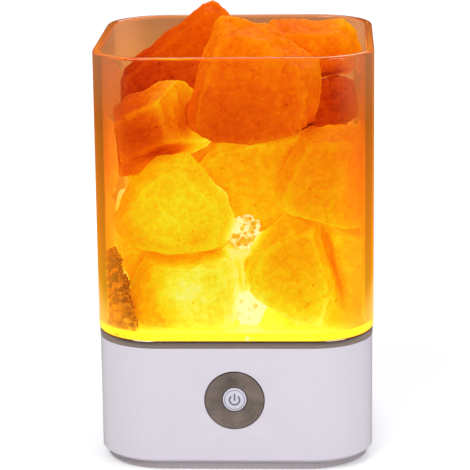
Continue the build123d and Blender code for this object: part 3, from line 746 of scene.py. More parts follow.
@dataclass(frozen=True)
class GrainGlow:
    """Small salt crystals, each with its own share of the light.

    Attributes:
        name: the finish's name.
        floor_z: the height that they lie on, in mm.
        pile_height: how high the pile in the corner is, in mm.
        lamp_spread: how much further the lamplight reaches in them than in stone.
        lamp_gain: how much more of it they catch.
    """

    name: str
    floor_z: float
    pile_height: float = 22.0
    lamp_spread: float = 1.5
    lamp_gain: float = 1.8

    def build(self) -> bpy.types.Material:
        """Make the material.

        Returns:
            The material.
        """
        paint = Paint(self.name)
        own = paint.attribute("edge")
        height = ((paint.z - self.floor_z) / self.pile_height).at_most(1.0)
        light = 0.46 + own * 0.42 - height * 0.15 + (paint.clouds(1.2, 2.0) - 0.5) * 0.3
        light = light + paint.lamplight(self.lamp_spread) * self.lamp_gain
        glow = paint.ramp(light, GRAIN_LIGHTS)
        paint.set(base_color=paint.blend(0.5, glow, (0.1, 0.03, 0.0)), emission_color=glow, roughness=0.3)
        paint.shader.inputs["Emission Strength"].default_value = 0.65
        paint.shader.inputs["Specular IOR Level"].default_value = 0.15
        paint.relief(paint.clouds(0.5, 2.0), 0.1)
        return paint.material


@dataclass(frozen=True)
class Glowing:
    """A surface that gives off light of its own, brighter at its middle.

    Attributes:
        name: the finish's name.
        middle: the colour at the middle.
        edge: the colour at the edge.
        reach: how far the middle reaches, in mm.
        strength: how strongly it shines.
    """

    name: str
    middle: Colour
    edge: Colour
    reach: float
    strength: float

    def build(self) -> bpy.types.Material:
        """Make the material.

        Returns:
            The material.
        """
        paint = Paint(self.name)
        radius = (paint.x * paint.x + paint.y * paint.y) ** 0.5
        share = radius.step(0.0, self.reach) + (paint.clouds(6.0) - 0.5) * 0.15
        glow = paint.blend(share, self.middle, self.edge)
        paint.set(base_color=glow, emission_color=glow, roughness=0.5 + (paint.clouds(1.5) - 0.5) * 0.2)
        paint.shader.inputs["Emission Strength"].default_value = self.strength
        return paint.material


@dataclass(frozen=True)
class CircuitBoard:
    """Laminate under solder mask, with copper lines that show through.

    Attributes:
        name: the finish's name.
        mask: the colour of the mask.
    """

    name: str
    mask: Colour

    def build(self) -> bpy.types.Material:
        """Make the material.

        Returns:
            The material.
        """
        paint = Paint(self.name)
        tracks = Value(paint, paint.cells(2.5, "DISTANCE_TO_EDGE", 0.35).outputs["Distance"])
        line = tracks.step(0.04, 0.09)
        bright = tuple(min(1.0, channel * 1.6 + 0.03) for channel in self.mask)
        weave = paint.clouds(0.6, 2.0)
        paint.set(base_color=paint.blend(line, bright, self.mask), roughness=0.35 + (weave - 0.5) * 0.2)
        paint.relief(1.0 - line, 0.03)
        return paint.material


# --------------------------------------------------------------------- the bench
class Bench:
    """Modelling as by hand: primitives, edit mode and finished pieces."""

    @staticmethod
    def clear() -> None:
        """Deselect every object."""
        if bpy.context.object and bpy.context.object.mode != "OBJECT":
            bpy.ops.object.mode_set(mode="OBJECT")
        bpy.ops.object.select_all(action="DESELECT")

    @staticmethod
    def take(piece: bpy.types.Object) -> None:
        """Select one piece alone and make it active.

        Args:
            piece: the piece.
        """
        Bench.clear()
        piece.select_set(True)
        bpy.context.view_layer.objects.active = piece

    @staticmethod
    @contextmanager
    def editing(piece: bpy.types.Object, mode: str = "VERT") -> Iterator[None]:
        """Edit mode on a piece, with nothing selected.

        Args:
            piece: the piece to edit.
            mode: what is selected: VERT, EDGE or FACE.
        """
        Bench.take(piece)
        bpy.ops.object.mode_set(mode="EDIT")
        bpy.ops.mesh.select_mode(type=mode)
        bpy.ops.mesh.select_all(action="DESELECT")
        yield
        bpy.ops.object.mode_set(mode="OBJECT")

    @staticmethod
    def pick(part: str, test: Callable[[Any], bool]) -> None:
        """Select parts of the mesh being edited by a test.

        Args:
            part: verts, edges or faces.
            test: says whether one is picked.
        """
        mesh = bpy.context.object.data
        shape = bmesh.from_edit_mesh(mesh)
        bpy.ops.mesh.select_all(action="DESELECT")
        for item in getattr(shape, part):
            if test(item):
                item.select_set(True)
        shape.select_flush_mode()
        bmesh.update_edit_mesh(mesh)

    @staticmethod
    def copy_of(node: str, name: str) -> bpy.types.Object:
        """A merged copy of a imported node, to be worked on.

        Args:
            node: the node's name.
            name: the copy's name.

        Returns:
            The copy.
        """
        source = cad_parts[node]
        piece = bpy.data.objects.new(name, source.data.copy())
        bpy.context.scene.collection.objects.link(piece)
        piece.data.materials.clear()
        with Bench.editing(piece):
            bpy.ops.mesh.select_all(action="SELECT")
            bpy.ops.mesh.remove_doubles(threshold=0.00001)
        return piece

    @staticmethod
    def apply(piece: bpy.types.Object, kind: str, **settings: Any) -> None:
        """Add a modifier, set it and apply it.

        Args:
            piece: the piece it works on.
            kind: the modifier's type.
            settings: its settings.
        """
        Bench.take(piece)
        modifier = piece.modifiers.new(kind.lower(), kind)
        for name, setting in settings.items():
            setattr(modifier, name, setting)
        bpy.ops.object.modifier_apply(modifier=modifier.name)

    @staticmethod
    def smooth(piece: bpy.types.Object, angle: float = 30.0) -> None:
        """Shade a piece smooth, with its flat faces kept flat.

        Args:
            piece: the piece.
            angle: the angle between faces up to which it looks smooth, in degrees.
        """
        Bench.take(piece)
        bpy.ops.object.shade_smooth_by_angle(angle=math.radians(angle))
        Bench.apply(piece, "WEIGHTED_NORMAL", keep_sharp=True)

    @staticmethod
    def place(piece: bpy.types.Object) -> None:
        """Bring a piece's origin to the lamp's own, with its place in its mesh."""
        Bench.take(piece)
        bpy.ops.object.transform_apply(location=True, rotation=True, scale=True)

    @staticmethod
    def finish(
        piece: bpy.types.Object,
        material: bpy.types.Material,
        slot: str,
        body: str = "lamp",
        stands_for: Sequence[str] = (),
    ) -> bpy.types.Object:
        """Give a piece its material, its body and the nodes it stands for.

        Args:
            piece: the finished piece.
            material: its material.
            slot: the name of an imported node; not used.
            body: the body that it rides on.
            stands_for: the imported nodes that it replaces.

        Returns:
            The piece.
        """
        piece.data.materials.clear()
        piece.data.materials.append(material)
        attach(piece, body)
        if stands_for:
            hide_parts(*stands_for)
        LOG.info("%s: %d faces", piece.name, len(piece.data.polygons))
        return piece


@dataclass
class Turned:
    """A ring or disc turned about an axis that looks along Y.

    Attributes:
        name: the piece's name.
        centre: a point on the axis, in m.
        steps: the outline as (y, radius) in m, all round for a ring.
        closed: whether the outline closes on itself, which leaves a bore.
        sides: how many sides the turning has.
    """

    name: str
    centre: Vector
    steps: Sequence[tuple[float, float]]
    closed: bool = True
    sides: int = 96

    def runs_round(self, edge: Any, y: float, radius: float) -> bool:
        """Whether an edge runs round the axis at a place.

        Args:
            edge: the edge.
            y: how far along the axis the place is, in m.
            radius: how far from the axis it is, in m.

        Returns:
            Whether both ends of the edge lie there.
        """
        spots = [vert.co for vert in edge.verts]
        radii = [math.hypot(spot.x - self.centre.x, spot.z - self.centre.z) for spot in spots]
        level = all(abs(spot.y - y) < TOUCH for spot in spots)
        return level and all(abs(reach - radius) < TOUCH for reach in radii)

    def build(self) -> bpy.types.Object:
        """Turn the piece.

        Returns:
            The piece, smooth, at the lamp's origin.
        """
        y, radius = self.steps[0]
        bpy.ops.mesh.primitive_circle_add(
            vertices=self.sides,
            radius=radius,
            fill_type="NOTHING" if self.closed else "NGON",
            location=(self.centre.x, y, self.centre.z),
            rotation=(math.pi / 2, 0, 0),
        )
        piece = bpy.context.object
        piece.name = self.name
        Bench.place(piece)
        with Bench.editing(piece, "EDGE" if self.closed else "FACE"):
            bpy.ops.mesh.select_all(action="SELECT")
            for next_y, next_radius in self.steps[1:]:
                bpy.ops.mesh.extrude_region_move(TRANSFORM_OT_translate={"value": (0, next_y - y, 0)})
                bpy.ops.transform.resize(
                    value=(next_radius / radius, 1, next_radius / radius),
                    center_override=(self.centre.x, next_y, self.centre.z),
                )
                y, radius = next_y, next_radius
            if self.closed:
                first_y, first_radius = self.steps[0]
                ends = ((first_y, first_radius), (y, radius))
                Bench.pick("edges", lambda edge: any(self.runs_round(edge, *end) for end in ends))
                bpy.ops.mesh.bridge_edge_loops()
            bpy.ops.mesh.select_all(action="SELECT")
            bpy.ops.mesh.normals_make_consistent(inside=False)
        Bench.smooth(piece)
        return piece


# --------------------------------------------------------------------- the vessel
@dataclass
class Vessel:
    """The square glass vessel and the metal ring it stands in.

    Attributes:
        corner: the radius of its upright corners, in m.
        wall: the thickness of its walls, in m.
        floor: the thickness of its floor, in m.
        rim: how far the rim is rounded, in m.
        foot: how far the foot is rounded, in m.
        inside: how far the inner floor is rounded, in m.
        ring_corner: the radius of the ring's corners, in m.
        ring_wall: how wide the ring's section is, in m.
        ring_edge: how far the ring's edges are rounded, in m.
        sides: how many steps one corner has.
    """

    corner: float = 22.5 * MM
    wall: float = 3.0 * MM
    floor: float = 2.4 * MM
    rim: float = 1.1 * MM
    foot: float = 0.9 * MM
    inside: float = 0.6 * MM
    ring_corner: float = 22.2 * MM
    ring_wall: float = 2.4 * MM
    ring_edge: float = 0.4 * MM
    sides: int = 28

    @staticmethod
    def rounded_block(name: str, low: Vector, high: Vector, corner: float, sides: int) -> bpy.types.Object:
        """A block with rounded upright corners.

        Args:
            name: the piece's name.
            low: its lowest corner.
            high: its highest corner.
            corner: the radius of its corners.
            sides: how many steps one corner has.

        Returns:
            The block.
        """
        bpy.ops.mesh.primitive_cube_add(size=1, location=(low + high) / 2, scale=high - low)
        piece = bpy.context.object
        piece.name = name
        Bench.place(piece)
        with Bench.editing(piece, "EDGE"):
            Bench.pick("edges", lambda edge: (edge.verts[0].co.xy - edge.verts[1].co.xy).length < TOUCH)
            bpy.ops.mesh.bevel(offset=corner, segments=sides, affect="EDGES")
        return piece

    @staticmethod
    def is_corner(edge: Any) -> bool:
        """Whether a level face meets an upright one at an edge."""
        return len({round(face.normal.z, 1) for face in edge.link_faces}) > 1

    def glass(self) -> bpy.types.Object:
        """The glass: walls drawn up from a floor, with a fire-polished rim.

        Returns:
            The glass.
        """
        low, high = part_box("glass_vessel")
        piece = self.rounded_block("vessel_glass", low, high, self.corner, self.sides)
        inner_floor = low.z + self.floor
        with Bench.editing(piece, "FACE"):
            Bench.pick("faces", lambda face: face.normal.z > 0.9)
            bpy.ops.mesh.inset(thickness=self.wall)
            bpy.ops.mesh.extrude_region_move(TRANSFORM_OT_translate={"value": (0, 0, inner_floor - high.z)})

        def level(edge: Any, z: float) -> bool:
            """Whether an edge lies at a height."""
            return all(abs(vert.co.z - z) < TOUCH for vert in edge.verts)

        with Bench.editing(piece, "EDGE"):
            for height, offset, segments in (
                (high.z, self.rim, 5),
                (low.z, self.foot, 4),
                (inner_floor, self.inside, 5),
            ):
                Bench.pick("edges", lambda edge: level(edge, height) and self.is_corner(edge))
                bpy.ops.mesh.bevel(offset=offset, segments=segments, affect="EDGES")
            bpy.ops.mesh.select_all(action="SELECT")
            bpy.ops.mesh.normals_make_consistent(inside=False)
        Bench.smooth(piece, 40)
        finish = VesselGlass("vessel_glass", low.z / MM, high.z / MM, high.x / MM)
        return Bench.finish(piece, finish.build(), "glass_vessel", stands_for=["glass_vessel"])

    def ring(self) -> bpy.types.Object:
        """The polished ring: a band with a bore for the base's plateau.

        Returns:
            The ring.
        """
        low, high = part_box("trim_ring")
        piece = self.rounded_block("vessel_ring", low, high, self.ring_corner, self.sides)
        with Bench.editing(piece, "FACE"):
            Bench.pick("faces", lambda face: abs(face.normal.z) > 0.9)
            bpy.ops.mesh.inset(thickness=self.ring_wall)
            bpy.ops.mesh.bridge_edge_loops()
        middle = high.x - self.ring_wall / 2
        with Bench.editing(piece, "EDGE"):
            Bench.pick("edges", lambda edge: self.is_corner(edge) and edge.verts[0].co.xy.length > middle)
            bpy.ops.mesh.bevel(offset=self.ring_edge, segments=3, affect="EDGES")
        Bench.smooth(piece, 50)
        finish = Metal("ring_metal", (0.64, 0.52, 0.44), 0.12, (14.0, 14.0, 0.5), 0.001)
        return Bench.finish(piece, finish.build(), "trim_ring", stands_for=["trim_ring"])

    def build(self) -> None:
        """Make the glass and its ring."""
        self.glass()
        self.ring()


# ------------------------------------------------------------------- the salt heap
@dataclass(frozen=True)
class Stone:
    """How one stone of the heap is lit and worn.

    Attributes:
        node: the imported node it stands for, without its salt_chunk_ prefix.
        level: its share of the light.
        slope: how the light grows for each 100 mm along X, Y and Z.
        heart: how much brighter its middle is.
        edge: how much brighter its edges are.
        cloud: how far the light wanders in it.
        rough: how much deeper its waves are than the others'.
    """

    node: str
    level: float
    slope: tuple[float, float, float] = (0.0, 0.0, 0.0)
    heart: float = 0.0
    edge: float = 0.25
    cloud: float = 0.3
    rough: float = 1.0


STONES = (
    Stone("bottom_left", 0.72, (0.8, 0.0, 0.0), 0.2, 0.06, 0.3),
    Stone("bottom_right", 0.73, (0.0, 0.0, -0.6), -0.06, 0.1, 0.25),
    Stone("middle_left", 0.68, (0.3, 0.0, 0.0), 0.12, 0.08, 0.2),
    Stone("middle_right", 0.57, (0.1, 0.0, -0.5), 0.0, 0.12, 0.2),
    Stone("top_front", 0.38, (0.15, 0.0, 0.35), 0.0, 0.08, 0.2),
    Stone("upper_left", 0.54, (1.8, 0.0, -0.3), -0.24, 0.2, 0.25),
    Stone("centre", 0.68, (0.0, 0.0, -0.3), 0.0, 0.12, 0.2),
    Stone("left_edge", 0.67, (0.0, 0.0, 1.2), 0.0, 0.06, 0.2),
    Stone("right_edge", 0.72, (0.0, 0.0, 0.2), 0.0, 0.1, 0.4),
    Stone("upper_right", 0.18, (-0.4, 0.0, 0.0), 0.0, 0.1, 0.2),
    Stone("core", 0.95),
    Stone("back_bottom_left", 0.74, (0.0, 0.0, -0.6), rough=2.4),
    Stone("back_bottom_right", 0.7, (0.0, 0.0, -0.6), rough=2.4),
    Stone("back_middle_left", 0.55, (0.0, 0.0, -0.6), rough=2.4),
    Stone("back_middle_right", 0.6, (0.0, 0.0, -0.6), rough=2.4),
    Stone("back_upper", 0.4, rough=1.6),
    Stone("peak", 0.21, (0.3, 0.0, 0.4), 0.0, 0.08, 0.15),
    Stone("top_right", 0.35, (0.4, 0.0, 0.9), 0.0, 0.08, 0.3),
)


@dataclass
class SaltHeap:
    """The rough salt in the vessel: large stones and a pile of small crystals.

    Attributes:
        grid: the mesh width of the stones' skin, in m.
        bulk: the depth and width of their broad waves, in m.
        chips: the depth and width of their chips, in m.
        crust: the depth and width of their fine crust, in m.
        sunk: the share of a wave that goes inwards, where 0.5 is half.
        round_steps: how often their edges are smoothed.
        round_share: how much of a smoothing is taken each time.
        edge_mark: how far round an edge counts as proud, in steps of the mesh and in m.
        grain_mark: how far round a grain counts as proud, in the same way.
        seed_step: how far apart the seeds of two stones' patterns are.
        crevice: how near another stone has to be to darken a stone, in m.
        crystal_pitch: how far apart the small crystals lie, in m.
        crumb_reach: how far crystals lie from where the light breaks through, in m.
        inner_half: half the vessel's inner width, in m.
        pile_corner: the radius of the vessel's inner corner, in m.
        pile_width: how wide the pile is at its foot, in m.
        pile_slope: how much narrower it gets with its height.
        pile_seed: the seed of the small crystals.
        pile_lift: how high over the floor its lowest crystals lie, in m.
        pile_margin: how much further than its packed box the pile may reach, in m.
        crumb_gaps: how many of the gaps where the light breaks through hold crystals.
        jitter: how far a crystal may lie off its place, as a share of the pitch.
        clearance: how far it stays off a stone, as a share of the pitch.
        crystal_shapes: how many shapes of crystal there are.
        crystal_uneven: how far a shape's corners wander, as a share of its radius.
        crystal_sizes: the least and the greatest radius of a crystal, as shares of the pitch.
    """

    grid: float = 0.65 * MM
    bulk: tuple[float, float] = (2.6 * MM, 13 * MM)
    chips: tuple[float, float] = (2.0 * MM, 5.5 * MM)
    crust: tuple[float, float] = (0.4 * MM, 1.2 * MM)
    sunk: float = 0.64
    round_steps: int = 3
    round_share: float = 0.6
    edge_mark: tuple[int, float] = (40, 1.6 * MM)
    grain_mark: tuple[int, float] = (5, 0.16 * MM)
    seed_step: float = 3.7
    crevice: float = 5.0 * MM
    crystal_pitch: float = 1.4 * MM
    crumb_reach: float = 6.0 * MM
    inner_half: float = 46.8 * MM
    pile_corner: float = 19.3 * MM
    pile_width: float = 11.5 * MM
    pile_slope: float = 0.32
    pile_seed: int = 11
    pile_lift: float = 0.5 * MM
    pile_margin: tuple[float, float, float] = (8.0 * MM, 0.0, 3.0 * MM)
    crumb_gaps: int = 2
    jitter: float = 0.16
    clearance: float = 0.45
    crystal_shapes: int = 5
    crystal_uneven: float = 0.35
    crystal_sizes: tuple[float, float] = (0.5, 0.85)
    waves: dict[str, bpy.types.Texture] = field(default_factory=dict)

    def wave(self, name: str, width: float) -> bpy.types.Texture:
        """A procedural texture that the stones' skins are pressed in by.

        Args:
            name: its name.
            width: how wide its features are.

        Returns:
            The texture.
        """
        if name not in self.waves:
            texture = bpy.data.textures.new(name, "CLOUDS")
            texture.noise_scale = width
            texture.noise_depth = 3
            self.waves[name] = texture
        return self.waves[name]

    def worn(self, piece: bpy.types.Object, rough: float) -> None:
        """Round a stone's edges and press waves, chips and crust into its skin.

        Args:
            piece: the stone.
            rough: how much deeper its waves are than the others'.
        """
        Bench.apply(piece, "REMESH", mode="VOXEL", voxel_size=self.grid)
        Bench.apply(piece, "SMOOTH", factor=self.round_share, iterations=self.round_steps)
        self.mark(piece, "edge", *self.edge_mark)
        for name, (depth, width), share in (
            ("stone_bulk", self.bulk, rough),
            ("stone_chips", self.chips, 1.0),
            ("stone_crust", self.crust, 1.0),
        ):
            Bench.apply(
                piece,
                "DISPLACE",
                texture=self.wave(name, width),
                texture_coords="LOCAL",
                strength=depth * share,
                mid_level=self.sunk + (share - 1.0) * 0.1,
            )
        self.mark(piece, "grain", *self.grain_mark)
        Bench.take(piece)
        bpy.ops.object.shade_smooth()

    @staticmethod
    def mark(piece: bpy.types.Object, name: str, passes: int, scale: float) -> None:
        """Write how far each point stands out of its surroundings as an attribute.

        Args:
            piece: the stone.
            name: the attribute's name.
            passes: how far the surroundings reach, in steps of the mesh.
            scale: the distance that counts as 1, in m.
        """
        mesh = piece.data
        count = len(mesh.vertices)
        points = np.empty(count * 3)
        mesh.vertices.foreach_get("co", points)
        points = points.reshape(-1, 3)
        normals = np.empty(count * 3)
        mesh.vertices.foreach_get("normal", normals)
        normals = normals.reshape(-1, 3)
        pairs = np.empty(len(mesh.edges) * 2, int)
        mesh.edges.foreach_get("vertices", pairs)
        first, second = pairs.reshape(-1, 2).T
        degree = np.bincount(first, minlength=count) + np.bincount(second, minlength=count)
        level = points.copy()
        for _ in range(passes):
            total = np.empty_like(level)
            for axis in range(3):
                total[:, axis] = np.bincount(first, level[second, axis], count) + np.bincount(
                    second, level[first, axis], count
                )
            level = total / degree[:, None]
        proud = ((points - level) * normals).sum(1) / scale
        attribute = mesh.attributes.new(name, "FLOAT", "POINT")
        attribute.data.foreach_set("value", np.clip(proud, -1.0, 1.0).astype(np.float32))

    def stone(self, stone: Stone, number: int) -> bpy.types.Object:
        """One stone of the heap.

        Args:
            stone: how it is lit.
            number: its place in the list, which seeds its pattern.

        Returns:
            The stone.
        """
        node = f"salt_chunk_{stone.node}"
        piece = Bench.copy_of(node, f"stone_{stone.node}")
        low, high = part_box(node)
        self.worn(piece, stone.rough)
        centre = tuple((low + high) / (2 * MM))
        slope = tuple(rate / 100 for rate in stone.slope)
        seed = number * self.seed_step
        glow = SaltGlow(piece.name, stone.level, slope, centre, stone.heart, stone.edge, stone.cloud, seed)
        return Bench.finish(piece, glow.build(), node, stands_for=[node])

    def lattice(self, low: Vector, high: Vector, draw: random.Random) -> Iterator[Vector]:
        """Jittered places for small crystals in a box.

        Args:
            low: the box's lowest corner.
            high: the box's highest corner.
            draw: the source of chance.

        Yields:
            One place after another.
        """
        counts = [int((top - bottom) / self.crystal_pitch) + 1 for bottom, top in zip(low, high)]
        for layer in range(counts[2]):
            shift = 0.5 * (layer % 2)
            for across in range(counts[0]):
                for deep in range(counts[1]):
                    jitter = Vector([draw.uniform(-self.jitter, self.jitter) for _ in range(3)])
                    yield low + (Vector((across + shift, deep + shift, layer)) + jitter) * self.crystal_pitch

    def in_pile(self, spot: Vector, foot: Vector) -> bool:
        """Whether a place lies in the pile in the front left corner.

        Args:
            spot: the place.
            foot: the lowest corner of the pile's box.

        Returns:
            Whether a crystal may lie there.
        """
        reach = self.pile_corner - self.crystal_pitch / 2
        off_x = min(0.0, spot.x + self.inner_half - self.pile_corner)
        off_y = min(0.0, spot.y + self.inner_half - self.pile_corner)
        bank = foot.x + self.pile_width - (spot.z - foot.z) * self.pile_slope
        return math.hypot(off_x, off_y) < reach and spot.x < bank

    @staticmethod
    def tree_of(stone: bpy.types.Object) -> BVHTree:
        """A stone's surface, ready to be asked what lies near it.

        Args:
            stone: the stone.

        Returns:
            Its surface.
        """
        shape = bmesh.new()
        shape.from_mesh(stone.data)
        tree = BVHTree.FromBMesh(shape)
        shape.free()
        return tree

    def contact_shades(self, stones: Sequence[bpy.types.Object], trees: Sequence[BVHTree]) -> None:
        """Write how near each point of a stone lies to another one as an attribute, which paints shade where
        the stones touch.

        Args:
            stones: the stones.
            trees: their surfaces.
        """
        skins = []
        for stone in stones:
            points = np.empty(len(stone.data.vertices) * 3)
            stone.data.vertices.foreach_get("co", points)
            skins.append(points.reshape(-1, 3))
        for stone, points in zip(stones, skins):
            near = np.zeros(len(points))
            for other, others, tree in zip(stones, skins, trees):
                if other is stone:
                    continue
                above = (points > others.min(0) - self.crevice).all(1)
                below = (points < others.max(0) + self.crevice).all(1)
                for number in np.flatnonzero(above & below):
                    distance = tree.find_nearest(Vector(points[number]), self.crevice)[3]
                    if distance is not None:
                        near[number] = max(near[number], 1.0 - distance / self.crevice)
            attribute = stone.data.attributes.new("crevice", "FLOAT", "POINT")
            attribute.data.foreach_set("value", near.astype(np.float32))

    def is_clear(self, spot: Vector, trees: Sequence[BVHTree]) -> bool:
        """Whether no stone reaches a place or holds it inside.

        Args:
            spot: the place.
            trees: the surfaces of the stones.

        Returns:
            Whether a crystal may lie there.
        """
        ahead = Vector((0.1, -0.2, 1.0)).normalized()
        for tree in trees:
            skin = tree.ray_cast(spot, ahead)[1]
            gap = tree.find_nearest(spot)[3]
            if gap < self.crystal_pitch * self.clearance or (skin and skin.dot(ahead) > 0):
                return False
        return True

    def spots(
        self, low: Vector, high: Vector, trees: Sequence[BVHTree], draw: random.Random
    ) -> list[Vector]:
        """Places for the small crystals, in the corner and where the light breaks through.

        Args:
            low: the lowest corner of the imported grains' box.
            high: its highest corner.
            trees: the surfaces of the stones that they lie between.
            draw: the source of chance.

        Returns:
            The places.
        """
        start = Vector((-self.inner_half, -self.inner_half, low.z + self.pile_lift))
        corner = self.lattice(start, high + Vector(self.pile_margin), draw)
        spots = [spot for spot in corner if self.in_pile(spot, low) and self.is_clear(spot, trees)]
        reach = Vector((self.crumb_reach,) * 3)
        for lamp in LAMPLIGHTS[: self.crumb_gaps]:
            place = Vector(lamp.place) * MM
            for spot in self.lattice(place - reach, place + reach, draw):
                if (spot - place).length < self.crumb_reach and self.is_clear(spot, trees):
                    spots.append(spot)
        return spots

    def crystal_masters(self) -> list[bpy.types.Object]:
        """The shapes that all the small crystals are copied from.

        Returns:
            The shapes, each about 1 m in radius.
        """
        masters = []
        for number in range(self.crystal_shapes):
            bpy.ops.mesh.primitive_ico_sphere_add(subdivisions=1, radius=1.0)
            master = bpy.context.object
            with Bench.editing(master):
                bpy.ops.mesh.select_all(action="SELECT")
                bpy.ops.transform.vertex_random(
                    offset=self.crystal_uneven, uniform=0.6, normal=0.0, seed=number + 1
                )
            masters.append(master)
        return masters

    def pile(self, trees: Sequence[BVHTree]) -> bpy.types.Object:
        """The small crystals in the corner and in the gaps where the light breaks through.

        Args:
            trees: the surfaces of the stones that they lie between.

        Returns:
            All the crystals as one piece.
        """
        draw = random.Random(self.pile_seed)
        low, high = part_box("salt_grains")
        spots = self.spots(low, high, trees, draw)
        masters = self.crystal_masters()
        crystals = []
        for number, spot in enumerate(spots):
            mesh = masters[number % len(masters)].data.copy()
            mesh.transform(
                Matrix.Translation(spot)
                @ Matrix.Rotation(draw.uniform(0, math.tau), 4, Vector((0.3, 0.5, 0.8)))
                @ Matrix.Scale(self.crystal_pitch * draw.uniform(*self.crystal_sizes), 4)
            )
            attribute = mesh.attributes.new("edge", "FLOAT", "POINT")
            attribute.data.foreach_set("value", [draw.uniform(-0.5, 0.5)] * len(mesh.vertices))
            crystal = bpy.data.objects.new(f"crystal_{number}", mesh)
            bpy.context.scene.collection.objects.link(crystal)
            crystals.append(crystal)
        for master in masters:
            bpy.data.objects.remove(master)
        Bench.clear()
        for crystal in crystals:
            crystal.select_set(True)
        bpy.context.view_layer.objects.active = crystals[0]
        bpy.ops.object.join()
        pile = bpy.context.object
        pile.name = "salt_pile"
        finish = GrainGlow("salt_pile", low.z / MM)
        return Bench.finish(pile, finish.build(), "salt_grains", stands_for=["salt_grains"])

    def build(self) -> None:
        """Make every stone and the pile."""
        stones = [self.stone(stone, number) for number, stone in enumerate(STONES)]
        trees = [self.tree_of(stone) for stone in stones]
        self.contact_shades(stones, trees)
        self.pile(trees)


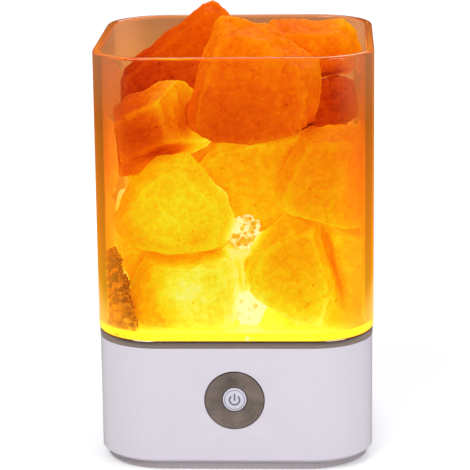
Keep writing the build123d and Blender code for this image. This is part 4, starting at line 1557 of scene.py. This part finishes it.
# ------------------------------------------------------------------------ the base
@dataclass
class Base:
    """The white base with its cover, feet, metal dish and push button.

    Attributes:
        rim: the width of the dish's flat rim, in m.
        rim_ease: how far the rim's outer edge is rounded, in m.
        rim_cut: how far in the middle of that rounding lies, in m.
        shadow_line: how wide the dark line round the rim is, in m.
        dish: how deep the dish is, in m.
        dish_turn: how wide the turn from the rim into the dish is, in m.
        dish_steps: how many steps the dish has from its edge to its bore.
        lip: how wide the lip at the bore is, in m.
        bore: the radius of the hole for the button, in m.
        neck: the radius of the dish's neck, in m.
        flange: how thick the dish's flange is, in m.
        collar: the radius of the button's collar, in m.
        collar_height: how high that collar is, in m.
        cap: the radius of the button's cap, in m.
        ease: how far the cap's edge is rounded, in m.
        ease_steps: how many steps that rounding has.
        flat: the radius of the cap's face inside that rounding, in m.
        crown: how far the cap bulges, in m.
        mark_radius: the radius of the sign on the cap, in m.
        mark_width: the width of its lines, in m.
        mark_height: how thick they are, in m.
        mark_sunk: how deep their middle lies under the face's foremost point, in m.
        arc_gap: half the gap at the top of the sign's arc, in degrees.
        bar: where the sign's bar starts and ends, up from the cap's middle, in m.
        bar_round: how far the bar's corners are rounded, as a share of its width.
        button_sides: how many sides the button's rounds have.
    """

    rim: float = 0.5 * MM
    rim_ease: float = 0.2 * MM
    rim_cut: float = 0.06 * MM
    shadow_line: float = 0.15 * MM
    dish: float = 1.4 * MM
    dish_turn: float = 0.08 * MM
    dish_steps: int = 14
    lip: float = 0.15 * MM
    bore: float = 4.6 * MM
    neck: float = 5.7 * MM
    flange: float = 1.8 * MM
    collar: float = 5.4 * MM
    collar_height: float = 0.8 * MM
    cap: float = 4.3 * MM
    ease: float = 0.4 * MM
    ease_steps: int = 6
    flat: float = 3.9 * MM
    crown: float = 0.12 * MM
    mark_radius: float = 2.1 * MM
    mark_width: float = 0.6 * MM
    mark_height: float = 0.05 * MM
    mark_sunk: float = 0.02 * MM
    arc_gap: float = 36.0
    bar: tuple[float, float] = (-0.35 * MM, 2.35 * MM)
    bar_round: float = 0.45
    button_sides: int = 72

    def shells(self) -> None:
        """The housing, its cover and the feet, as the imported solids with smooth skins."""
        white = Plastic("base_white", tone(220, 214, 223), 0.24, 0.003, 0.4, 0.012, 0.25)
        grey = Plastic("cover_grey", tone(178, 167, 171), 0.5, 0.02, 0.35, 0.05)
        black = Plastic("foot_rubber", tone(72, 70, 72), 0.75, 0.03, 0.3, 0.1)
        for node, name, finish in (
            ("base_housing", "base_shell", white),
            ("bottom_cover", "base_cover", grey),
            ("rubber_feet", "base_feet", black),
        ):
            piece = Bench.copy_of(node, name)
            Bench.smooth(piece, 25)
            Bench.finish(piece, finish.build(), node, stands_for=[node])

    def dish_ring(self) -> bpy.types.Object:
        """The dark metal dish round the button.

        Returns:
            The dish.
        """
        low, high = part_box("button_bezel")
        centre = (low + high) / 2
        outer = (high.x - low.x) / 2
        edge = outer - self.rim
        sphere = (edge**2 + self.dish**2) / (2 * self.dish)
        middle = low.y + self.dish - sphere
        back = low.y + self.flange
        steps = [(high.y, self.bore), (high.y, self.neck), (back, self.neck), (back, outer)]
        steps += [(low.y + self.rim_ease, outer), (low.y + self.rim_cut, outer - self.rim_cut)]
        steps += [(low.y, outer - self.rim_ease), (low.y, edge + self.dish_turn)]
        for turn in range(self.dish_steps + 1):
            radius = edge + (self.bore + self.lip - edge) * turn / self.dish_steps
            steps.append((middle + math.sqrt(sphere**2 - radius**2), radius))
        steps.append((steps[-1][0] + self.lip, self.bore))
        piece = Turned("button_dish", centre, steps).build()
        # The dish's dark rim line is a painted shadow of the gap where it seats.
        finish = SpunDish("dish_metal", (0.25, 0.195, 0.165), centre.z / MM, (outer - self.shadow_line) / MM)
        return Bench.finish(piece, finish.build(), "button_bezel", stands_for=["button_bezel"])

    def cap_piece(self, centre: Vector, face: float, back: float) -> bpy.types.Object:
        """The button's cap: a collar, a rounded edge and a crowned face with a groove.

        Args:
            centre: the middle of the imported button, in m.
            face: how far along Y its face is, in m.
            back: how far along Y its collar ends, in m.

        Returns:
            The cap.
        """
        shoulder = back - self.collar_height
        steps = [(back, self.collar), (shoulder, self.collar), (shoulder, self.cap)]
        steps += [(face + self.ease + self.crown, self.cap)]
        for turn in range(1, self.ease_steps + 1):
            angle = math.radians(90 * turn / self.ease_steps)
            inwards = self.ease * (1 - math.cos(angle))
            steps.append((face + self.crown + self.ease * (1 - math.sin(angle)), self.cap - inwards))
        groove = ((0.0, 3.72), (0.08, 3.66), (0.08, 3.46), (0.0, 3.4))
        inner = ((0.0, 3.0), (0.0, 2.0), (0.0, 1.0), (0.0, 0.3))
        for sunk, radius in groove + inner:
            bulge = self.crown * (radius * MM / self.flat) ** 2
            steps.append((face + bulge + sunk * MM, radius * MM))
        return Turned("button_cap", centre, steps, closed=False, sides=self.button_sides).build()

    def groove_ink(self, centre: Vector, face: float) -> bpy.types.Object:
        """The dark ring in the cap's groove.

        Args:
            centre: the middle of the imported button, in m.
            face: how far along Y its face is, in m.

        Returns:
            The ring.
        """
        section = ((0.13, 3.64), (0.17, 3.64), (0.17, 3.48), (0.13, 3.48))
        steps = [(face + sunk * MM, radius * MM) for sunk, radius in section]
        return Turned("button_groove", centre, steps, sides=self.button_sides).build()

    def sign_arc(self, centre: Vector, face: float) -> bpy.types.Object:
        """The open circle of the on and off sign.

        Args:
            centre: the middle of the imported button, in m.
            face: how far along Y its face is, in m.

        Returns:
            The arc.
        """
        middle = Vector((centre.x, face + self.mark_sunk, centre.z))
        bpy.ops.mesh.primitive_circle_add(
            vertices=self.button_sides,
            radius=self.mark_radius,
            location=middle,
            rotation=(math.pi / 2, 0, 0),
        )
        arc = bpy.context.object
        arc.name = "button_sign_arc"
        Bench.place(arc)
        gap = math.radians(self.arc_gap)
        with Bench.editing(arc):
            Bench.pick("verts", lambda vert: abs(math.atan2(*(vert.co - middle).xz)) < gap)
            bpy.ops.mesh.delete(type="VERT")
            bpy.ops.mesh.select_all(action="SELECT")
            shrink = 1 - self.mark_width / self.mark_radius
            bpy.ops.mesh.extrude_region_move(TRANSFORM_OT_translate={"value": (0, 0, 0)})
            bpy.ops.transform.resize(value=(shrink, 1, shrink), center_override=middle)
        Bench.apply(arc, "SOLIDIFY", thickness=self.mark_height, offset=0.0)
        return arc

    def sign_bar(self, centre: Vector, face: float) -> bpy.types.Object:
        """The bar of the on and off sign.

        Args:
            centre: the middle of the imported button, in m.
            face: how far along Y its face is, in m.

        Returns:
            The bar.
        """
        middle = face + self.mark_sunk
        half = Vector((self.mark_width, self.mark_height)) / 2
        low = Vector((-half.x, middle - half.y, centre.z + self.bar[0]))
        high = Vector((half.x, middle + half.y, centre.z + self.bar[1]))
        bpy.ops.mesh.primitive_cube_add(size=1, location=(low + high) / 2, scale=high - low)
        bar = bpy.context.object
        bar.name = "button_sign_bar"
        Bench.place(bar)
        with Bench.editing(bar, "EDGE"):
            Bench.pick("edges", lambda edge: abs(edge.verts[0].co.y - edge.verts[1].co.y) > half.y)
            bpy.ops.mesh.bevel(offset=self.mark_width * self.bar_round, segments=4, affect="EDGES")
        return bar

    def button(self) -> None:
        """The crowned cap with its groove and a generic on and off sign."""
        low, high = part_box("power_button")
        centre = (low + high) / 2
        white = Plastic("button_white", tone(214, 211, 223), 0.28, 0.002, 0.3, 0.01, 0.2)
        cap = self.cap_piece(centre, low.y, high.y)
        Bench.finish(cap, white.build(), "power_button", "button", ["power_button"])
        ink = Plastic("button_ink", tone(112, 104, 118), 0.45, 0.002, 0.2, 0.05).build()
        for make in (self.groove_ink, self.sign_arc, self.sign_bar):
            Bench.finish(make(centre, low.y), ink, "power_button", "button")

    def build(self) -> None:
        """Make the shells, the dish and the button."""
        self.shells()
        self.dish_ring()
        self.button()


# ------------------------------------------------------------------- inner pieces
class Inside(Enum):
    """The finishes of the pieces inside the base, each with the nodes that have it."""

    SCREW = (
        "cover_screws",
        "reflector_screws",
        "led_board_screws",
        "switch_board_screws",
        "control_board_screws",
    )
    STEEL = ("bezel_retainer", "inlet_shell")
    GREEN_BOARD = ("control_board", "switch_board")
    WHITE_BOARD = ("led_board",)
    BLACK_PLASTIC = ("control_chip", "tact_switch", "switch_plunger", "inlet_tongue", "chip_resistors")
    IVORY_PLASTIC = ("lead_sockets", "lead_plugs")
    WHITE_PLASTIC = ("reflector_cup",)
    CAN = ("filter_capacitor",)
    COIL = ("power_coil",)
    RED_WIRE = ("led_lead",)
    BLACK_WIRE = ("switch_lead",)
    SEAL = ("glass_seal",)
    DIFFUSER = ("light_diffuser",)
    PHOSPHOR = ("leds",)


INSIDE_FINISHES: Mapping[Inside, Any] = {
    Inside.SCREW: Metal("screw_zinc", (0.58, 0.58, 0.6), 0.3, (1.0, 1.0, 1.0)),
    Inside.STEEL: Metal("plain_steel", (0.55, 0.55, 0.56), 0.28),
    Inside.GREEN_BOARD: CircuitBoard("board_green", (0.02, 0.12, 0.04)),
    Inside.WHITE_BOARD: CircuitBoard("board_white", (0.72, 0.72, 0.7)),
    Inside.BLACK_PLASTIC: Plastic("part_black", (0.015, 0.015, 0.016), 0.5, 0.02, 0.2, 0.2),
    Inside.IVORY_PLASTIC: Plastic("part_ivory", (0.8, 0.76, 0.66), 0.45, 0.01, 0.3, 0.05),
    Inside.WHITE_PLASTIC: Plastic("reflector_white", (0.85, 0.85, 0.84), 0.2, 0.004, 0.4, 0.02),
    Inside.CAN: Metal("can_aluminium", (0.7, 0.7, 0.72), 0.3, (8.0, 8.0, 0.6)),
    Inside.COIL: Plastic("coil_ferrite", (0.05, 0.05, 0.055), 0.6, 0.03, 0.25, 0.2),
    Inside.RED_WIRE: Plastic("wire_red", (0.45, 0.02, 0.015), 0.4, 0.01, 0.5, 0.08),
    Inside.BLACK_WIRE: Plastic("wire_black", (0.02, 0.02, 0.022), 0.4, 0.01, 0.5, 0.15),
    Inside.SEAL: Plastic("seal_silicone", (0.75, 0.73, 0.68), 0.5, 0.01, 0.6, 0.04),
    Inside.DIFFUSER: Glowing("diffuser_glow", (1.0, 0.82, 0.25), (1.0, 0.6, 0.05), 34.0, 1.4),
    Inside.PHOSPHOR: Glowing("led_glow", (1.0, 0.85, 0.4), (1.0, 0.75, 0.25), 16.0, 2.0),
}


class InnerPieces:
    """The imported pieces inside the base, which keep their shapes and get finishes."""

    def build(self) -> None:
        """Give every inner node its material."""
        for kind, finish in INSIDE_FINISHES.items():
            material = finish.build()
            for name in kind.value:
                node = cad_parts[name]
                node.data.materials.clear()
                node.data.materials.append(material)
                LOG.info("%s dressed as %s", name, finish.name)


# --------------------------------------------------------------------- the studio
@dataclass
class Studio:
    """The floor, the lights and the camera.

    Attributes:
        eye: where the camera stands, in m.
        yaw: how far it turns to the right, in radians.
        pitch: how far it looks down, in radians.
        roll: how far it leans, in radians.
        lens: its focal length, in mm.
        sensor: the width of its sensor, in mm.
        aim: where the lights look, in m.
        floor_reach: half the floor's width, in m.
        room_fill: how brightly the room lights matt surfaces.
        room_mirrored: how bright the room is in mirrors and on glass.
        mirrored_near: how far out mirrors see a pale floor, in mm.
        mirrored_far: from where on mirrors see a dark floor, in mm.
        fading_from: how far out the floor starts to fade into the background, in mm.
        faded_at: how far out it has faded, in mm.
    """

    eye: tuple[float, float, float] = (0.03555, -0.83896, 0.28652)
    yaw: float = -0.043888
    pitch: float = 0.246288
    roll: float = -0.011809
    lens: float = 177.5
    sensor: float = 36.0
    aim: tuple[float, float, float] = (0.0, 0.0, 0.07)
    floor_reach: float = 4.0
    room_fill: float = 0.5
    room_mirrored: float = 0.06
    mirrored_near: float = 200.0
    mirrored_far: float = 260.0
    fading_from: float = 450.0
    faded_at: float = 1800.0

    def camera(self) -> None:
        """Set the camera at the photograph's place."""
        ahead = Vector(
            (
                math.sin(self.yaw) * math.cos(self.pitch),
                math.cos(self.yaw) * math.cos(self.pitch),
                -math.sin(self.pitch),
            )
        )
        level = Vector((math.cos(self.yaw), -math.sin(self.yaw), 0.0))
        above = level.cross(ahead)
        right = level * math.cos(self.roll) + above * math.sin(self.roll)
        up = above * math.cos(self.roll) - level * math.sin(self.roll)
        camera = bpy.data.objects.new("photo_camera", bpy.data.cameras.new("photo_camera"))
        camera.data.lens = self.lens
        camera.data.sensor_width = self.sensor
        camera.data.clip_start = 0.01
        camera.matrix_world = Matrix(
            (
                (right.x, up.x, -ahead.x, self.eye[0]),
                (right.y, up.y, -ahead.y, self.eye[1]),
                (right.z, up.z, -ahead.z, self.eye[2]),
                (0.0, 0.0, 0.0, 1.0),
            )
        )
        bpy.context.scene.collection.objects.link(camera)
        bpy.context.scene.camera = camera

    def floor(self) -> None:
        """A plain pale floor that shows white and keeps the lamp's shadow."""
        bpy.ops.mesh.primitive_grid_add(x_subdivisions=8, y_subdivisions=8, size=2 * self.floor_reach)
        floor = bpy.context.object
        floor.name = "studio_floor"
        paint = Paint("studio_floor")
        seen, mirrored = paint.seen_rays()
        pale = paint.blend(paint.clouds(200.0), (0.78, 0.78, 0.79), (0.82, 0.82, 0.82))
        radius = (paint.x * paint.x + paint.y * paint.y) ** 0.5
        outside = radius.step(self.mirrored_near, self.mirrored_far)
        shade = paint.blend(outside, (0.6, 0.6, 0.6), (0.02, 0.02, 0.02))
        lit = paint.blend(seen, (0.0, 0.0, 0.0), (0.3, 0.3, 0.3))
        far = radius.step(self.fading_from, self.faded_at) * seen
        paint.set(
            base_color=paint.blend(far, paint.blend(mirrored, pale, shade), (0.0, 0.0, 0.0)),
            roughness=0.9,
            emission_color=paint.blend(far, lit, (1.0, 1.0, 1.0)),
            emission_strength=1.0,
        )
        paint.shader.inputs["Specular IOR Level"].default_value = 0.0
        floor.data.materials.append(paint.material)

    def world(self) -> None:
        """A soft surround: white behind the lamp, dark where it would be mirrored."""
        world = bpy.data.worlds.new("studio_world")
        world.use_nodes = True
        bpy.context.scene.world = world
        nodes = NodeTree(world.node_tree)
        seen, mirrored = nodes.seen_rays()
        unseen = self.room_fill + (self.room_mirrored - self.room_fill) * mirrored
        shade = nodes.blend(seen, (0.94, 0.95, 1.0), (1.0, 1.0, 1.0))
        strength = unseen + (1.0 - unseen) * seen
        sky = nodes.node("ShaderNodeBackground", {}, {"Color": shade, "Strength": strength})
        nodes.node("ShaderNodeOutputWorld", {}, {"Surface": sky.outputs[0]})

    def lamp(
        self, name: str, place: tuple[float, float, float], size: float, watts: float, colour: Colour
    ) -> None:
        """A soft square light that looks at the lamp.

        Args:
            name: the light's name.
            place: where it hangs, in m.
            size: its width, in m.
            watts: its power.
            colour: its colour.
        """
        light = bpy.data.objects.new(name, bpy.data.lights.new(name, "AREA"))
        light.data.size = size
        light.data.energy = watts
        light.data.color = colour
        light.location = place
        ahead = Vector(self.aim) - Vector(place)
        light.rotation_euler = ahead.to_track_quat("-Z", "Y").to_euler()
        bpy.context.scene.collection.objects.link(light)

    def build(self) -> None:
        """Set the stage."""
        self.camera()
        self.floor()
        self.world()
        self.lamp("key_light", (-0.7, -0.9, 1.3), 0.9, 14.0, (1.0, 0.98, 0.97))
        self.lamp("fill_light", (0.9, -0.8, 0.7), 0.8, 6.0, (0.96, 0.97, 1.0))
        self.lamp("back_light", (0.2, 1.0, 1.1), 0.9, 8.0, (1.0, 1.0, 1.0))
        bpy.context.scene.view_settings.view_transform = "Standard"


def main() -> None:
    """Build the lamp's sub-assemblies in order and report each."""
    logging.basicConfig(level=logging.INFO, format="%(name)s: %(message)s")
    for part in (Studio(), InnerPieces(), Base(), Vessel(), SaltHeap()):
        LOG.info("building %s", type(part).__name__)
        part.build()
    Bench.clear()


if __name__ == "__main__":
    main()
